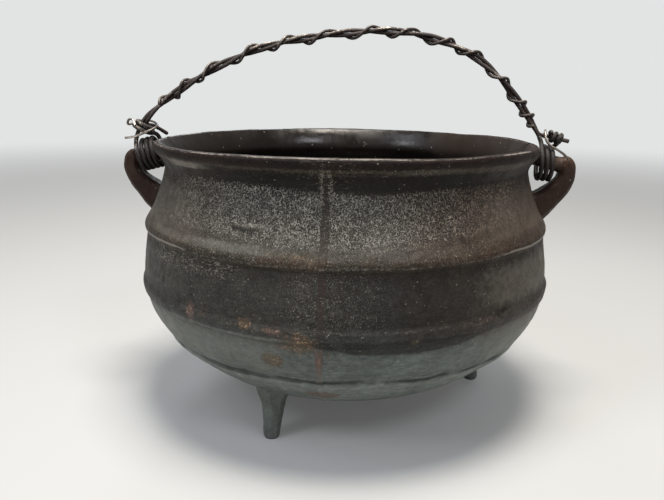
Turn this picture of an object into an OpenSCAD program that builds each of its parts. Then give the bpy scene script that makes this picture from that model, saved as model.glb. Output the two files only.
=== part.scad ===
// Three-legged cast iron cauldron with two ears and a carrying bail of twisted wire.
// Millimetres, Z up. The origin is on the pot's axis, at the floor under the feet.
// X runs through the two ears, and the front is on the -Y side.

/* [Vessel] */
// Radius of the lip's outer edge
lip_r = 125; // [124.5:0.1:125.5]
// Height of the lip's top over the floor
lip_z = 172.5; // [172:0.1:173]
// Radius of the neck under the lip
neck_r = 118.5; // [118:0.1:119]
// Height of the neck's narrowest ring
neck_z = 157; // [156.5:0.1:157.5]
// Radius of the shoulder, where the neck starts
shoulder_r = 131.9; // [131:0.1:132.5]
// Height of the shoulder band's top
shoulder_z = 121; // [120.5:0.1:121.5]
// Radius of the belly at its widest, without the band
belly_r = 134.2; // [133.8:0.1:134.6]
// Height of the belly's widest ring
belly_z = 84.2; // [84:0.1:84.6]
// Depth of the bowl below the belly
bowl_depth = 75.3; // [74:0.1:76]
// Thickness of the iron
wall = 5; // [4:0.5:6]

/* [Cast bands and seams] */
// How far the two upper bands stand out of the wall
band_proud = 1.3; // [0.8:0.1:1.6]
// How far the low band on the bowl stands out
low_band_proud = 0.9; // [0.5:0.1:1.2]
// Height of the low band on the bowl
low_band_z = 50.5; // [49:0.5:52]
// Width of the two upright mould seams
seam_w = 4; // [3:0.5:5]
// How far the mould seams stand out
seam_proud = 0.7; // [0.4:0.1:0.8]
// Turn of the seams from the front and the back, seen from above
seam_turn = -2.3; // [-4:0.1:4]

/* [Ears] */
// Distance from the pot's axis to the middle of the stretch that the bail turns on
pivot_x = 133; // [132.5:0.1:133.5]
// Height of the bail's turning axis
pivot_z = 161; // [160.5:0.1:161.5]
// Radius of the ear's upper arm, inside the wire winding
arm_r = 5; // [4.5:0.1:5.2]
// Slope of the upper arm, down towards the elbow
arm_slope = 15; // [12:1:17]

/* [Legs] */
// Radius of the circle that the feet stand on
foot_circle_r = 94.7; // [92:0.1:96]
// Direction of the right leg, from +X towards the back
right_leg_angle = 6; // [0:1:12]
// Outward lean of each leg
leg_lean = 8; // [4:1:10]

/* [Bail wires] */
// Diameter of the two core wires and of the windings on the ears
core_d = 2.6; // [2.2:0.1:2.7]
// Diameter of the lacing wire round the core wires
lace_d = 2; // [1.6:0.1:2.2]
// Diameter of the thin binding wires
tie_d = 1.6; // [1.2:0.1:1.8]
// Length in which the two core wires go once round each other
core_lay = 56; // [54:1:58]

/* [Hidden] */
iron = [0.23, 0.22, 0.21];
dark_iron = [0.19, 0.19, 0.18];
wire_steel = [0.33, 0.29, 0.26];
tie_steel = [0.55, 0.52, 0.48];
round_fn = 96;
air = 0.15;              // gap between wires that lie side by side

// How full the bowl's curve is, across and down
bowl_across = 2.48;
bowl_down = 1.675;
belly_band_z = [79.2, 81.6, 83.6, 85.2];     // foot, lower edge, upper edge and top of the belly band
lip_flare_top = 166.8;                        // height where the flare of the neck meets the lip's edge

// Radius of the bowl at a height, for the outer face or one set in from it
function bowl_r(z, inset) = (belly_r - inset)
    * pow(1 - pow(max(0, belly_z - z) / (bowl_depth - inset), bowl_down), 1 / bowl_across);
// Points of the bowl between two slants: 90 is its lowest point and 0 its rim
function bowl_part(from, to, steps, inset) = [for (i = [0:steps])
    let (a = from + (to - from) * i / steps, z = belly_z - (bowl_depth - inset) * sin(a))
    [a == 90 ? 0 : bowl_r(z, inset), z]];
// Points of the upright wall between the belly and the shoulder
function wall_part(steps, inset) = [for (i = [1:steps])
    let (t = i / steps, z = 87.5 + (shoulder_z - 4.6 - 87.5) * t)
    [belly_r - 0.4 - inset - 3.5 * pow(t, 1.8), z]];
// Points of the neck's hollow curve, from the shoulder up to the narrowest ring
function neck_part(steps, inset) = [for (i = [1:steps])
    let (t = i / steps)
    [neck_r - inset + (shoulder_r - neck_r) * pow(1 - t, 1.35), shoulder_z + (neck_z - shoulder_z) * t]];
// Points of the flare from the neck out to the lip
function lip_part(steps, inset, reach, top) = [for (i = [1:steps])
    let (t = i / steps)
    [neck_r - inset + reach * pow(t, 1.7), neck_z + (top - neck_z) * t]];
function slant(z) = asin((belly_z - z) / bowl_depth);
function turned_back(list) = [for (i = [len(list) - 1:-1:0]) list[i]];

outer_side = concat(
    bowl_part(90, slant(low_band_z - 1.6), 10, 0),
    [[bowl_r(low_band_z, 0) + low_band_proud, low_band_z - 0.7],
     [bowl_r(low_band_z, 0) + low_band_proud + 0.3, low_band_z + 0.7]],
    bowl_part(slant(low_band_z + 2.4), slant(belly_band_z[0] - 1), 5, 0),
    [for (k = [0:3]) [belly_r + band_proud - [0.8, 0.3, 0.3, 0.8][k], belly_band_z[k]]],
    wall_part(6, 0),
    [[shoulder_r - 0.3, shoulder_z - 4.3], [shoulder_r + 0.2, shoulder_z - 2.6], [shoulder_r, shoulder_z]],
    neck_part(8, 0),
    lip_part(4, 0, lip_r - 0.5 - neck_r, lip_flare_top),
    [[lip_r, lip_flare_top + 1.2], [lip_r, lip_z - 1.7], [lip_r - 0.7, lip_z - 0.5], [lip_r - 2, lip_z]]);
inner_side = concat(
    bowl_part(90, 0, 12, wall),
    wall_part(5, wall),
    neck_part(7, wall),
    lip_part(4, wall, 6.2, lip_z - 1.2),
    [[lip_r - 4.4, lip_z]]);

module vessel() {
    color(iron)
    union() {
        rotate_extrude($fn = round_fn) polygon(concat(outer_side, turned_back(inner_side)));
        for (half = [0, 180]) rotate([0, 0, half + seam_turn]) mould_seam();
    }
}

// Raised line where the two halves of the mould met, from the bowl up to the flare of the neck.
// Both of its ends lie between two rings of the outer side, so that they don't cut along a ring.
module mould_seam() {
    foot = 14.5;
    top = 163.2;
    line = [for (p = outer_side) if (p.y > foot - 3 && p.y < lip_flare_top) p];
    skin = 2;
    intersection() {
        rotate_extrude($fn = round_fn) polygon(concat(
            [for (p = line) [p.x + seam_proud, p.y]],
            [for (p = turned_back(line)) [p.x - skin, p.y]]));
        translate([-seam_w / 2, -belly_r - 10, foot]) cube([seam_w, belly_r + 10, top - foot]);
    }
}

// The vessel without its hollow, which the ears and legs are trimmed to
module vessel_shape() {
    rotate_extrude($fn = round_fn) polygon(concat([[0, lip_z]], outer_side));
}

// Stations of the ear's lower arm, from the shoulder up to the elbow:
// place in X and Z, direction, thickness and width
lower_arm = [
    [122.8, 127.9, 30, 22, 18.4],
    [129.7, 132, 42, 18.4, 15.4],
    [136.2, 137.4, 50, 15.2, 13.8],
    [142.5, 143.7, 62, 12.6, 13],
    [146.1, 151, 78, 11, 12.6],
    [145.9, 157.8, 97, 10.4, 12.2],
    [144, 162.3, 122, 6.4, 9.6]];
ear_bevel = 2.6;

module arm_slice(s) {
    t = s[3] / 2;
    w = s[4] / 2;
    translate([s[0], 0, s[1]]) rotate([0, 90 - s[2], 0]) linear_extrude(0.3) polygon([
        [t - ear_bevel, w], [t, w - ear_bevel], [t, ear_bevel - w], [t - ear_bevel, -w],
        [ear_bevel - t, -w], [-t, ear_bevel - w], [-t, w - ear_bevel], [ear_bevel - t, w]]);
}

module ear() {
    difference() {
        union() {
            translate([pivot_x, 0, pivot_z]) rotate([0, 90 + arm_slope, 0]) {
                translate([0, 0, -15]) cylinder(h = 26, r = arm_r, $fn = 48);
                translate([0, 0, -15]) cylinder(h = 8, r1 = 7.4, r2 = arm_r, $fn = 48);
                translate([0, 0, 7]) cylinder(h = 5, r1 = arm_r, r2 = arm_r + 0.8, $fn = 48);
            }
            for (i = [0:len(lower_arm) - 2]) hull() {
                arm_slice(lower_arm[i]);
                arm_slice(lower_arm[i + 1]);
            }
        }
        vessel_shape();
    }
}
module left_ear() { color(dark_iron) mirror([1, 0, 0]) ear(); }
module right_ear() { color(dark_iron) ear(); }

// Outline of a leg about its own line: rounded foot, tapered shaft and flared root
leg_outline = [[0, -1.6], [2.6, -1.6], [3.9, -0.6], [4.5, 1], [4.7, 3], [5.2, 10], [5.9, 18],
               [6.6, 22], [8, 25.6], [10.2, 28.8], [13, 31.2], [13, 44], [0, 44]];

module leg(angle) {
    color(dark_iron)
    rotate([0, 0, angle])
    difference() {
        translate([foot_circle_r, 0, 0]) rotate([0, -leg_lean, 0])
            rotate_extrude($fn = 48) polygon(leg_outline);
        vessel_shape();
        translate([foot_circle_r - 20, -20, -20]) cube([40, 40, 20]);
    }
}
module right_leg() { leg(right_leg_angle); }
module back_left_leg() { leg(right_leg_angle + 120); }
module front_left_leg() { leg(right_leg_angle + 240); }

// Middle line of the bail from the left ear to the right one, in X and Z, upright
bail_route = [
    [-139.5, 177], [-137, 182], [-131, 189], [-117, 200], [-99, 211.5], [-79, 222], [-58, 230.5],
    [-37, 235.5], [-15, 239], [8, 241.5], [30, 242], [50, 239], [68, 233.5], [84, 225.5], [97, 215.5],
    [108, 203.5], [118, 190.5], [125, 180], [127, 175.5]];
// Where the lacing wire comes up across the front of the bail
lacing_crossings = [-125, -111, -94, -67, -43, -19, 11, 35, 61, 78, 99, 112, 118, 122.5];
// Free ends of the second core wire: behind the left knot, and out over the right ear
left_core_tail = [[-126, 14, 173.6], [-129, 10.5, 176.4], [-132.5, 6.5, 179.3]];
right_core_tail = [[131.5, 1.7, 177.3], [136, 0.8, 176.7], [141, -0.4, 175.2], [146, -1, 174]];
// Where each winding climbs from behind its ear to its knot
left_rise = [[-129.6, 11.4, 168], [-131.2, 10, 172.6]];
right_rise = [[138, 9.6, 168.4], [140, 6.2, 171.8]];
// Thin binding wires: round the left knot with a small ring, and across the right knot
left_tie_route = [
    [-149.5, -4, 171.6], [-145, -6.4, 172.2], [-140, -8.4, 173.3], [-135, -8.6, 175.3], [-130.6, -7.2, 177.2],
    [-127.9, -1.2, 179.8], [-132.2, 5.4, 182], [-138, 7.2, 183], [-144, 5.4, 182], [-147.8, 1, 180.4],
    [-147.8, -2.6, 181.4], [-146.2, -4, 184], [-143, -5.6, 184], [-141.4, -7.2, 181.4]];
right_tie_route = [
    [131.4, 5.4, 175.6], [131.2, 3.4, 179.6], [130.4, -0.6, 181], [129.8, -4.2, 178.4], [130.2, -6.6, 174.6],
    [132.8, -7.8, 171.6], [137, -9, 169.2], [141.6, -9, 166.2], [144, -8.6, 163.8]];

// A smooth line through hand-set points
function curve_point(a, b, c, d, u) = 0.5 * (2 * b + (c - a) * u
    + (2 * a - 5 * b + 4 * c - d) * u * u + (3 * b - a - 3 * c + d) * u * u * u);
function smooth(p, n) = concat(
    [for (i = [0:len(p) - 2], k = [0:n - 1])
        curve_point(p[max(i - 1, 0)], p[i], p[i + 1], p[min(i + 2, len(p) - 1)], k / n)],
    [p[len(p) - 1]]);

// A bend from the end of one line to the start of another, leaving and meeting them in line
function way_out(p) = unit(p[len(p) - 1] - p[len(p) - 2]);
function way_in(p) = unit(p[1] - p[0]);
function bend_point(a, b, c, d, u) =
    pow(1 - u, 3) * a + 3 * u * pow(1 - u, 2) * b + 3 * u * u * (1 - u) * c + pow(u, 3) * d;
function joined(p, q, n) =
    let (a = p[len(p) - 1], d = q[0], reach = 0.4 * norm(d - a))
    concat(p,
        [for (i = [1:n - 1]) bend_point(a, a + reach * way_out(p), d - reach * way_in(q), d, i / n)],
        q);
// A line with a straight end, as long as the wire is thick
function straight_end(p, d) = concat(p, [p[len(p) - 1] + d * way_out(p)]);

// Frames along a line: each ring's first axis is carried on square to the next direction
function unit(v) = v / norm(v);
function heading(p, i) = unit(p[min(i + 1, len(p) - 1)] - p[max(i - 1, 0)]);
function square_to(v, t) = unit(v - (v * t) * t);
function across(t) = square_to(abs(t.z) < 0.9 ? [0, 0, 1] : [0, 1, 0], t);
function carried(headings) = [for (i = 0, v = across(headings[0]); i < len(headings);
    i = i + 1, v = i < len(headings) ? square_to(v, headings[i]) : v) v];

// One unbroken tube round a line of points
module tube(p, d, sides) {
    headings = [for (i = [0:len(p) - 1]) heading(p, i)];
    first = carried(headings);
    last = len(p) - 1;
    polyhedron(
        points = [for (i = [0:last], k = [0:sides - 1])
            let (a = 360 * k / sides, second = cross(headings[i], first[i]))
            p[i] + d / 2 * (cos(a) * first[i] + sin(a) * second)],
        faces = concat(
            [[for (k = [0:sides - 1]) k]],
            [for (i = [0:last - 1], k = [0:sides - 1], half = [0, 1])
                let (a = i * sides + k, b = i * sides + (k + 1) % sides)
                half == 0 ? [a, a + sides, b] : [b, a + sides, b + sides]],
            [[for (k = [sides - 1:-1:0]) last * sides + k]]),
        convexity = 10);
}

// Least gap between stretches of one tube that are more than four thicknesses apart along it
function run(p, i) = i == 0 ? 0 : norm(p[i] - p[i - 1]);
function runs(p) = [for (i = 0, s = 0; i < len(p); i = i + 1, s = s + (i < len(p) ? run(p, i) : 0)) s];
function own_gap(p, d) = let (s = runs(p))
    min([for (i = [0:len(p) - 1], j = [i + 1:1:len(p) - 1]) if (s[j] - s[i] > 4 * d) norm(p[i] - p[j])]) - d;

// The bail's middle line as smooth points, and its height at an X
bail_line = smooth(bail_route, 6);
function bail_z(x) = lookup(x, bail_line);
function bail_middle(x) = [x, 0, bail_z(x)];
function bail_heading(x) = unit(bail_middle(x + 0.4) - bail_middle(x - 0.4));
// A point beside the middle line: angle 0 is behind it, 90 above it and 180 in front of it
function beside_bail(x, r, angle) = let (t = bail_heading(x), up = [-t.z, 0, t.x])
    bail_middle(x) + r * (cos(angle) * [0, 1, 0] + sin(angle) * up);

core_lay_r = core_d / 2 + air / 2;
bail_start = bail_route[0].x + 0.5;
bail_end = bail_route[len(bail_route) - 1].x - 0.5;
function core_stations(from, to) = [for (p = smooth(bail_route, 4)) if (p.x > from && p.x < to) p.x];
function core_angle(x, which) = 90 + 180 * which - 360 * (x - bail_start) / core_lay;
function core_line(which, from, to) = [for (x = core_stations(from, to))
    beside_bail(x, core_lay_r, core_angle(x, which))];
core_line_1 = core_line(0, bail_start, bail_end);
core_line_2 = joined(
    joined(smooth(left_core_tail, 2), core_line(1, bail_start + 2.4, bail_end - 0.9), 3),
    smooth(right_core_tail, 2), 3);

module core_wire_1() { color(wire_steel) tube(core_line_1, core_d, 6); }
module core_wire_2() { color(wire_steel) tube(core_line_2, core_d, 6); }

// The lacing wire hugs the pair of core wires, so its distance follows their shape
lacing_turn = [for (i = [0:len(lacing_crossings) - 1]) [i, lacing_crossings[i]]];
function lacing_point(turn) = let (
        x = lookup(turn, lacing_turn),
        a = 180 - 360 * turn,
        r = core_lay_r * abs(cos(a - core_angle(x, 0))) + core_d / 2 + lace_d / 2 + air)
    beside_bail(x, r, a);
lacing_rings = 14;
lacing_line = [for (i = [0:lacing_rings * (len(lacing_crossings) - 1)]) lacing_point(i / lacing_rings)];

module lacing_wire() { color(wire_steel) tube(lacing_line, lace_d, 6); }

// Turns round an axis: from is the middle, along the axis, up is square to it,
// and the angle starts above the axis and goes to the front
function turn_point(from, along, up, shift, r, angle) =
    from + shift * along + r * (cos(angle) * up + sin(angle) * cross(along, up));

winding_r = [arm_r + 4.85, arm_r + 5.8];         // left and right
winding_drop = [0, 1.3];                         // how far each winding's middle hangs below the turning axis
winding_pitch = core_d + 0.8;
winding_rings = 24;
// Turns of a winding round an ear's arm. The tilt leans the tops of the turns outwards.
// It starts at a shift from the middle and an angle.
function winding(middle, r, tilt, from_angle, to_angle, from_shift, step) =
    let (side = sign(middle.x),
         along = [side * cos(tilt), 0, -sin(tilt)],
         up = [side * sin(tilt), 0, cos(tilt)],
         count = round((to_angle - from_angle) * winding_rings / 360))
    [for (i = [0:count])
        let (turn = i / winding_rings)
        turn_point(middle, along, up,
            from_shift + step * winding_pitch * turn, r, side * (from_angle + 360 * turn))];
// Turns of a knot round a straight line from one place towards another
function knot(from, towards, first_r, last_r, from_angle, turns, pitch) =
    let (along = unit(towards - from), up = across(along), count = round(abs(turns) * winding_rings))
    [for (i = [0:count]) turn_point(from, along, up, pitch * i / winding_rings,
        first_r + (last_r - first_r) * i / count, from_angle + sign(turns) * 360 * i / winding_rings)];

// The straight first stretch of a winding, on from the end of the wire that it continues
function run_on(p, d) = [p[len(p) - 1], p[len(p) - 1] + d * way_out(p)];

first_turn_angle = [50, 42];                     // left and right, from above the arm to the front
turn_count = [3.64, 2.66];
turn_lean = [14, 4];
turn_middle_x = [-pivot_x - 2.2, pivot_x - 0.9];
first_turn_shift = [4.25, -4.9];
function ear_turns(ear, step) = winding([turn_middle_x[ear], 0, pivot_z - winding_drop[ear]], winding_r[ear],
    turn_lean[ear], first_turn_angle[ear], first_turn_angle[ear] + 360 * turn_count[ear],
    first_turn_shift[ear], step);
// A whole winding: run-in, turns round the ear, climb behind it and knot
function winding_line(run_in, turns, rise, knot) =
    straight_end(joined(joined(joined(run_in, turns, 6), rise, 4), knot, 6), core_d);

left_knot = knot([-138.6, 0, 176], [-134.6, 0, 182.6], 7, 5.8, 265, 1.62, winding_pitch);
left_winding_line = winding_line(
    run_on(turned_back(core_line_1), core_d), ear_turns(0, -1), left_rise, left_knot);

right_knot = knot([141.2, -0.3, 175.2], [133, 1.2, 177.4], 3, 3, 90, -2.3, winding_pitch);
right_winding_line = winding_line(
    run_on(core_line_1, core_d), ear_turns(1, 1), right_rise, right_knot);

left_tie_line = straight_end(smooth(left_tie_route, 4), tie_d);
right_tie_line = straight_end(smooth(right_tie_route, 4), tie_d);

module left_ear_winding() { color(wire_steel) tube(left_winding_line, core_d, 6); }
module right_ear_winding() { color(wire_steel) tube(right_winding_line, core_d, 6); }
module left_tie_wire() { color(tie_steel) tube(left_tie_line, tie_d, 6); }
module right_tie_wire() { color(tie_steel) tube(right_tie_line, tie_d, 6); }

echo(gap_core_wire_1 = own_gap(core_line_1, core_d), gap_core_wire_2 = own_gap(core_line_2, core_d),
     gap_lacing_wire = own_gap(lacing_line, lace_d));
echo(gap_left_winding = own_gap(left_winding_line, core_d),
     gap_right_winding = own_gap(right_winding_line, core_d),
     gap_left_tie = own_gap(left_tie_line, tie_d), gap_right_tie = own_gap(right_tie_line, tie_d));

vessel();
left_ear();
right_ear();
front_left_leg();
right_leg();
back_left_leg();
core_wire_1();
core_wire_2();
lacing_wire();
left_ear_winding();
right_ear_winding();
left_tie_wire();
right_tie_wire();
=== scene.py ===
"""Looks of a cast iron cauldron with a bail of twisted wire, built round its packed construction.

Metres, Z up. X runs through the two ears, and the front is on the -Y side.
"""
import itertools
import math

import bpy
import numpy as np
from mathutils import Matrix, Vector


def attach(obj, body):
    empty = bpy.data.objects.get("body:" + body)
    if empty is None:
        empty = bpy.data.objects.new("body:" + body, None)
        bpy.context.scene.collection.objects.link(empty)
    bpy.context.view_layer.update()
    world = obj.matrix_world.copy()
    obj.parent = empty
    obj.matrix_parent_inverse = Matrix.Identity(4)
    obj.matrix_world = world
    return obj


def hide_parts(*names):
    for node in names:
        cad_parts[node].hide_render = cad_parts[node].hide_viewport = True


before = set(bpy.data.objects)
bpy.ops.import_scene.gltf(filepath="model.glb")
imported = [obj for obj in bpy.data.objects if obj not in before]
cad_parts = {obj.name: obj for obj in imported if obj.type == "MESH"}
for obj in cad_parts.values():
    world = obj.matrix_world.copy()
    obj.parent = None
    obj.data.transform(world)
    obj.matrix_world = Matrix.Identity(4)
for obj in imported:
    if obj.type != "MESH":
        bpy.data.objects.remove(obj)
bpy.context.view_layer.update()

# Vessel
LIP_R = 0.125
LIP_Z = 0.1725
LIP_FLARE_TOP = 0.1668
NECK_R = 0.1185
NECK_Z = 0.157
SHOULDER_R = 0.1319
SHOULDER_Z = 0.121
BELLY_R = 0.1342
BELLY_Z = 0.0842
BOWL_DEPTH = 0.0753
BOWL_ACROSS = 2.48       # how full the bowl's curve is across
BOWL_DOWN = 1.675        # and down
WALL = 0.005
WALL_FOOT_Z = 0.0875     # where the upright wall starts, over the belly band
BELLY_BAND_Z = 0.0812
BELLY_BAND_PROUD = 0.0012
LOW_BAND_Z = 0.0508
LOW_BAND_PROUD = 0.0011
BAND_RISE = 0.0022       # of the ledge and the belly band, from the seams to the ears
SEAM_HALF_WIDTH = 0.0019
SEAM_PROUD = 0.0007

# Ears
PIVOT_X = 0.133
PIVOT_Z = 0.161
ARM_R = 0.005
ARM_SLOPE = math.radians(15)

# Legs
FOOT_CIRCLE_R = 0.0947
RIGHT_LEG_ANGLE = math.radians(6)
LEG_LEAN = math.radians(8)

# Wires of the bail
CORE_D = 0.0026
LACE_D = 0.002
TIE_D = 0.0016
CORE_LAY = 0.056
AIR = 0.00015


def srgb(code):
    """A colour written as six hex digits, as the shader's linear red, green, blue and alpha."""
    parts = [int(code[i:i + 2], 16) / 255 for i in (0, 2, 4)]
    linear = [c / 12.92 if c <= 0.04045 else ((c + 0.055) / 1.055) ** 2.4 for c in parts]
    return (*linear, 1.0)


# Seeded noise and easing, for shapes and masks

def lattice_value(cells, seed):
    """A random value from -1 to 1 for each whole-numbered cell, the same on every run."""
    cells = cells.astype(np.int64).astype(np.uint64)
    mixed = cells[:, 0] * np.uint64(73856093)
    mixed ^= cells[:, 1] * np.uint64(19349663)
    mixed ^= cells[:, 2] * np.uint64(83492791)
    mixed += np.uint64(seed * 2654435761)
    for shift in (15, 13, 16):
        mixed ^= mixed >> np.uint64(shift)
        mixed *= np.uint64(2246822519)
    return ((mixed >> np.uint64(20)) & np.uint64(0xFFFFF)).astype(float) / 0x7FFFF - 1


def bumps(points, size, seed):
    """Smooth noise from -1 to 1, with bumps about as wide as size."""
    place = points / size
    cell = np.floor(place)
    part = place - cell
    ease = part * part * (3 - 2 * part)
    total = np.zeros(len(points))
    for corner in itertools.product((0, 1), repeat=3):
        weight = np.prod(np.where(corner, ease, 1 - ease), axis=1)
        total += weight * lattice_value(cell + corner, seed)
    return total


def rough(points, size, seed, layers=3):
    """Layers of smooth noise, each half as wide and half as strong as the one before."""
    return sum(bumps(points, size / 2 ** k, seed + k) / 2 ** k for k in range(layers))


def ramp(value, start, end):
    """0 at start and 1 at end, with soft ends."""
    t = np.clip((value - start) / (end - start), 0, 1)
    return t * t * (3 - 2 * t)


def hill(value, middle, half_width, soft):
    """1 within half_width of middle, and 0 past a soft edge."""
    return 1 - ramp(np.abs(value - middle), half_width, half_width + soft)


def sector(azimuth, middle, half_width, soft):
    """1 within half_width of a direction round the pot, in degrees, and 0 past a soft edge."""
    return hill((azimuth - middle + 180) % 360 - 180, 0, half_width, soft)


# Lines and tubes

def smooth_line(points, steps):
    """A smooth line through given points."""
    p = np.asarray(points, float)
    padded = np.vstack([p[:1], p, p[-1:]])
    line = []
    for i in range(len(p) - 1):
        a, b, c, d = padded[i:i + 4]
        for u in np.arange(steps) / steps:
            line.append(0.5 * (2 * b + (c - a) * u + (2 * a - 5 * b + 4 * c - d) * u ** 2
                               + (3 * b - a - 3 * c + d) * u ** 3))
    line.append(p[-1])
    return np.array(line)


def unit(v):
    return v / np.linalg.norm(v)


def joined(p, q, steps):
    """Two lines joined by a bend that leaves the first and meets the second in line."""
    a, d = p[-1], q[0]
    reach = 0.4 * np.linalg.norm(d - a)
    b = a + reach * unit(p[-1] - p[-2])
    c = d - reach * unit(q[1] - q[0])
    bend = [(1 - u) ** 3 * a + 3 * u * (1 - u) ** 2 * b + 3 * u * u * (1 - u) * c + u ** 3 * d
            for u in np.arange(1, steps) / steps]
    return np.vstack([p, bend, q])


def straight_end(p, length):
    return np.vstack([p, p[-1] + length * unit(p[-1] - p[-2])])


def evened(line, spacing):
    """The same line with its points a steady distance apart, and its kinks eased."""
    lengths = np.concatenate([[0], np.cumsum(np.linalg.norm(np.diff(line, axis=0), axis=1))])
    stations = np.linspace(0, lengths[-1], max(4, round(lengths[-1] / spacing)))
    even = np.column_stack([np.interp(stations, lengths, line[:, k]) for k in range(3)])
    for _ in range(3):
        even[1:-1] = 0.25 * even[:-2] + 0.5 * even[1:-1] + 0.25 * even[2:]
    return even


def frames(line):
    """Headings along a line, and two directions square to each, carried on without twist."""
    heading = np.gradient(line, axis=0)
    heading /= np.linalg.norm(heading, axis=1)[:, None]
    first = np.zeros_like(heading)
    start = np.array([0, 0, 1.0]) if abs(heading[0][2]) < 0.9 else np.array([0, 1.0, 0])
    for i, t in enumerate(heading):
        start = unit(start - (start @ t) * t)
        first[i] = start
    return heading, first, np.cross(heading, first)


def new_object(name, points, faces, material, smooth=True):
    """A mesh object of the casting or the bail, with one material."""
    mesh = bpy.data.meshes.new(name)
    mesh.from_pydata([tuple(p) for p in points], [], faces)
    mesh.polygons.foreach_set("use_smooth", [smooth] * len(mesh.polygons))
    mesh.materials.append(material)
    mesh.update()
    made = bpy.data.objects.new(name, mesh)
    bpy.context.scene.collection.objects.link(made)
    return made


def set_mask(piece, name, values):
    """Stores one number per vertex, which the piece's material reads by name."""
    attribute = piece.data.attributes.new(name, "FLOAT", "POINT")
    attribute.data.foreach_set("value", np.asarray(values, np.float32))


def stitched_rings(rings, sides):
    """Faces between neighbouring rings of points, wound so that they face outwards."""
    return [(i * sides + k, i * sides + (k + 1) % sides, (i + 1) * sides + (k + 1) % sides, (i + 1) * sides + k)
            for i in range(rings - 1) for k in range(sides)]


def tube(line, diameter, sides, seed):
    """Points and faces of a wire along a line, a little uneven, with ends cut square and eased."""
    ease = 0.12 * diameter
    heading, first, second = frames(line)
    line = np.vstack([line[:1], line[:1] + ease * heading[:1], line[1:-1], line[-1:] - ease * heading[-1:], line[-1:]])
    first = np.vstack([first[:1], first, first[-1:]])
    second = np.vstack([second[:1], second, second[-1:]])
    uneven = 1 + 0.035 * bumps(line, 0.007, seed)
    uneven[[0, -1]] *= 0.82
    angle = np.arange(sides) * 2 * math.pi / sides
    around = np.cos(angle)[None, :, None] * first[:, None] + np.sin(angle)[None, :, None] * second[:, None]
    points = (line[:, None] + diameter / 2 * uneven[:, None, None] * around).reshape(-1, 3)
    last = (len(line) - 1) * sides
    caps = [tuple(reversed(range(sides))), tuple(range(last, last + sides))]
    return points, stitched_rings(len(line), sides) + caps, around.reshape(-1, 3)


# Camera

CAMERA_PLACE = (0.0196, -0.4481, 0.2060)
CAMERA_TURN = math.radians(3.577)
CAMERA_PITCH = math.radians(13.729)
CAMERA_ROLL = math.radians(0.730)
CAMERA_LENS = 35.92
SENSOR_WIDTH = 36


def make_camera():
    camera = bpy.data.objects.new("camera", bpy.data.cameras.new("camera"))
    camera.data.lens = CAMERA_LENS
    camera.data.sensor_width = SENSOR_WIDTH
    turn = Matrix.Rotation(CAMERA_TURN, 4, "Z")
    pitch = Matrix.Rotation(math.pi / 2 - CAMERA_PITCH, 4, "X")
    roll = Matrix.Rotation(CAMERA_ROLL, 4, "Z")
    camera.matrix_world = Matrix.Translation(CAMERA_PLACE) @ turn @ pitch @ roll
    bpy.context.scene.collection.objects.link(camera)
    bpy.context.scene.camera = camera


# Material helpers

def new_material(name):
    material = bpy.data.materials.new(name)
    material.use_nodes = True
    return material, material.node_tree, material.node_tree.nodes["Principled BSDF"]


def add(tree, kind, inputs=None, **settings):
    """Adds a node. Each input takes a number, a colour, or the socket that feeds it."""
    made = tree.nodes.new("ShaderNode" + kind)
    for key, value in settings.items():
        setattr(made, key, value)
    for key, value in (inputs or {}).items():
        feed(tree, made.inputs[key], value)
    return made


def feed(tree, socket, value):
    if isinstance(value, bpy.types.NodeSocket):
        tree.links.new(value, socket)
    else:
        socket.default_value = value


def maths(tree, operation, first, second=0.0, third=0.0, clamp=False):
    made = add(tree, "Math", {0: first, 1: second, 2: third}, operation=operation, use_clamp=clamp)
    return made.outputs[0]


def ranged(tree, value, low, high, to_low=0.0, to_high=1.0):
    """A value's range from low to high laid over another range, with soft ends."""
    made = add(tree, "MapRange", {"Value": value, "From Min": low, "From Max": high,
                                  "To Min": to_low, "To Max": to_high}, interpolation_type="SMOOTHSTEP")
    return made.outputs["Result"]


def mixed(tree, share, first, second):
    """One colour laid over another by a share from 0 to 1."""
    made = add(tree, "Mix", data_type="RGBA")
    feed(tree, made.inputs["Factor"], share)
    feed(tree, made.inputs[6], first)
    feed(tree, made.inputs[7], second)
    return made.outputs[2]


def mask_of(tree, name):
    return add(tree, "Attribute", attribute_name=name).outputs["Fac"]


def object_place(tree):
    return add(tree, "TexCoord").outputs["Object"]


def noise(tree, place, size, detail=4.0, roughness=0.55, distortion=0.0):
    made = add(tree, "TexNoise", {"Vector": place, "Scale": 1 / size, "Detail": detail,
                                  "Roughness": roughness, "Distortion": distortion})
    return made.outputs["Fac"]


def new_group(name, inputs, outputs):
    """An empty node group with named sockets. Each input is a name, a kind and a starting value."""
    tree = bpy.data.node_groups.new(name, "ShaderNodeTree")
    for label, kind, value in inputs:
        socket = tree.interface.new_socket(label, in_out="INPUT", socket_type="NodeSocket" + kind)
        if value is not None:
            socket.default_value = value
    for label in outputs:
        tree.interface.new_socket(label, in_out="OUTPUT", socket_type="NodeSocketFloat")
    return tree, tree.nodes.new("NodeGroupInput").outputs, tree.nodes.new("NodeGroupOutput").inputs


def place_group(tree, group, inputs):
    return add(tree, "Group", inputs, node_tree=group).outputs


# Effects that several materials share

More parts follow.
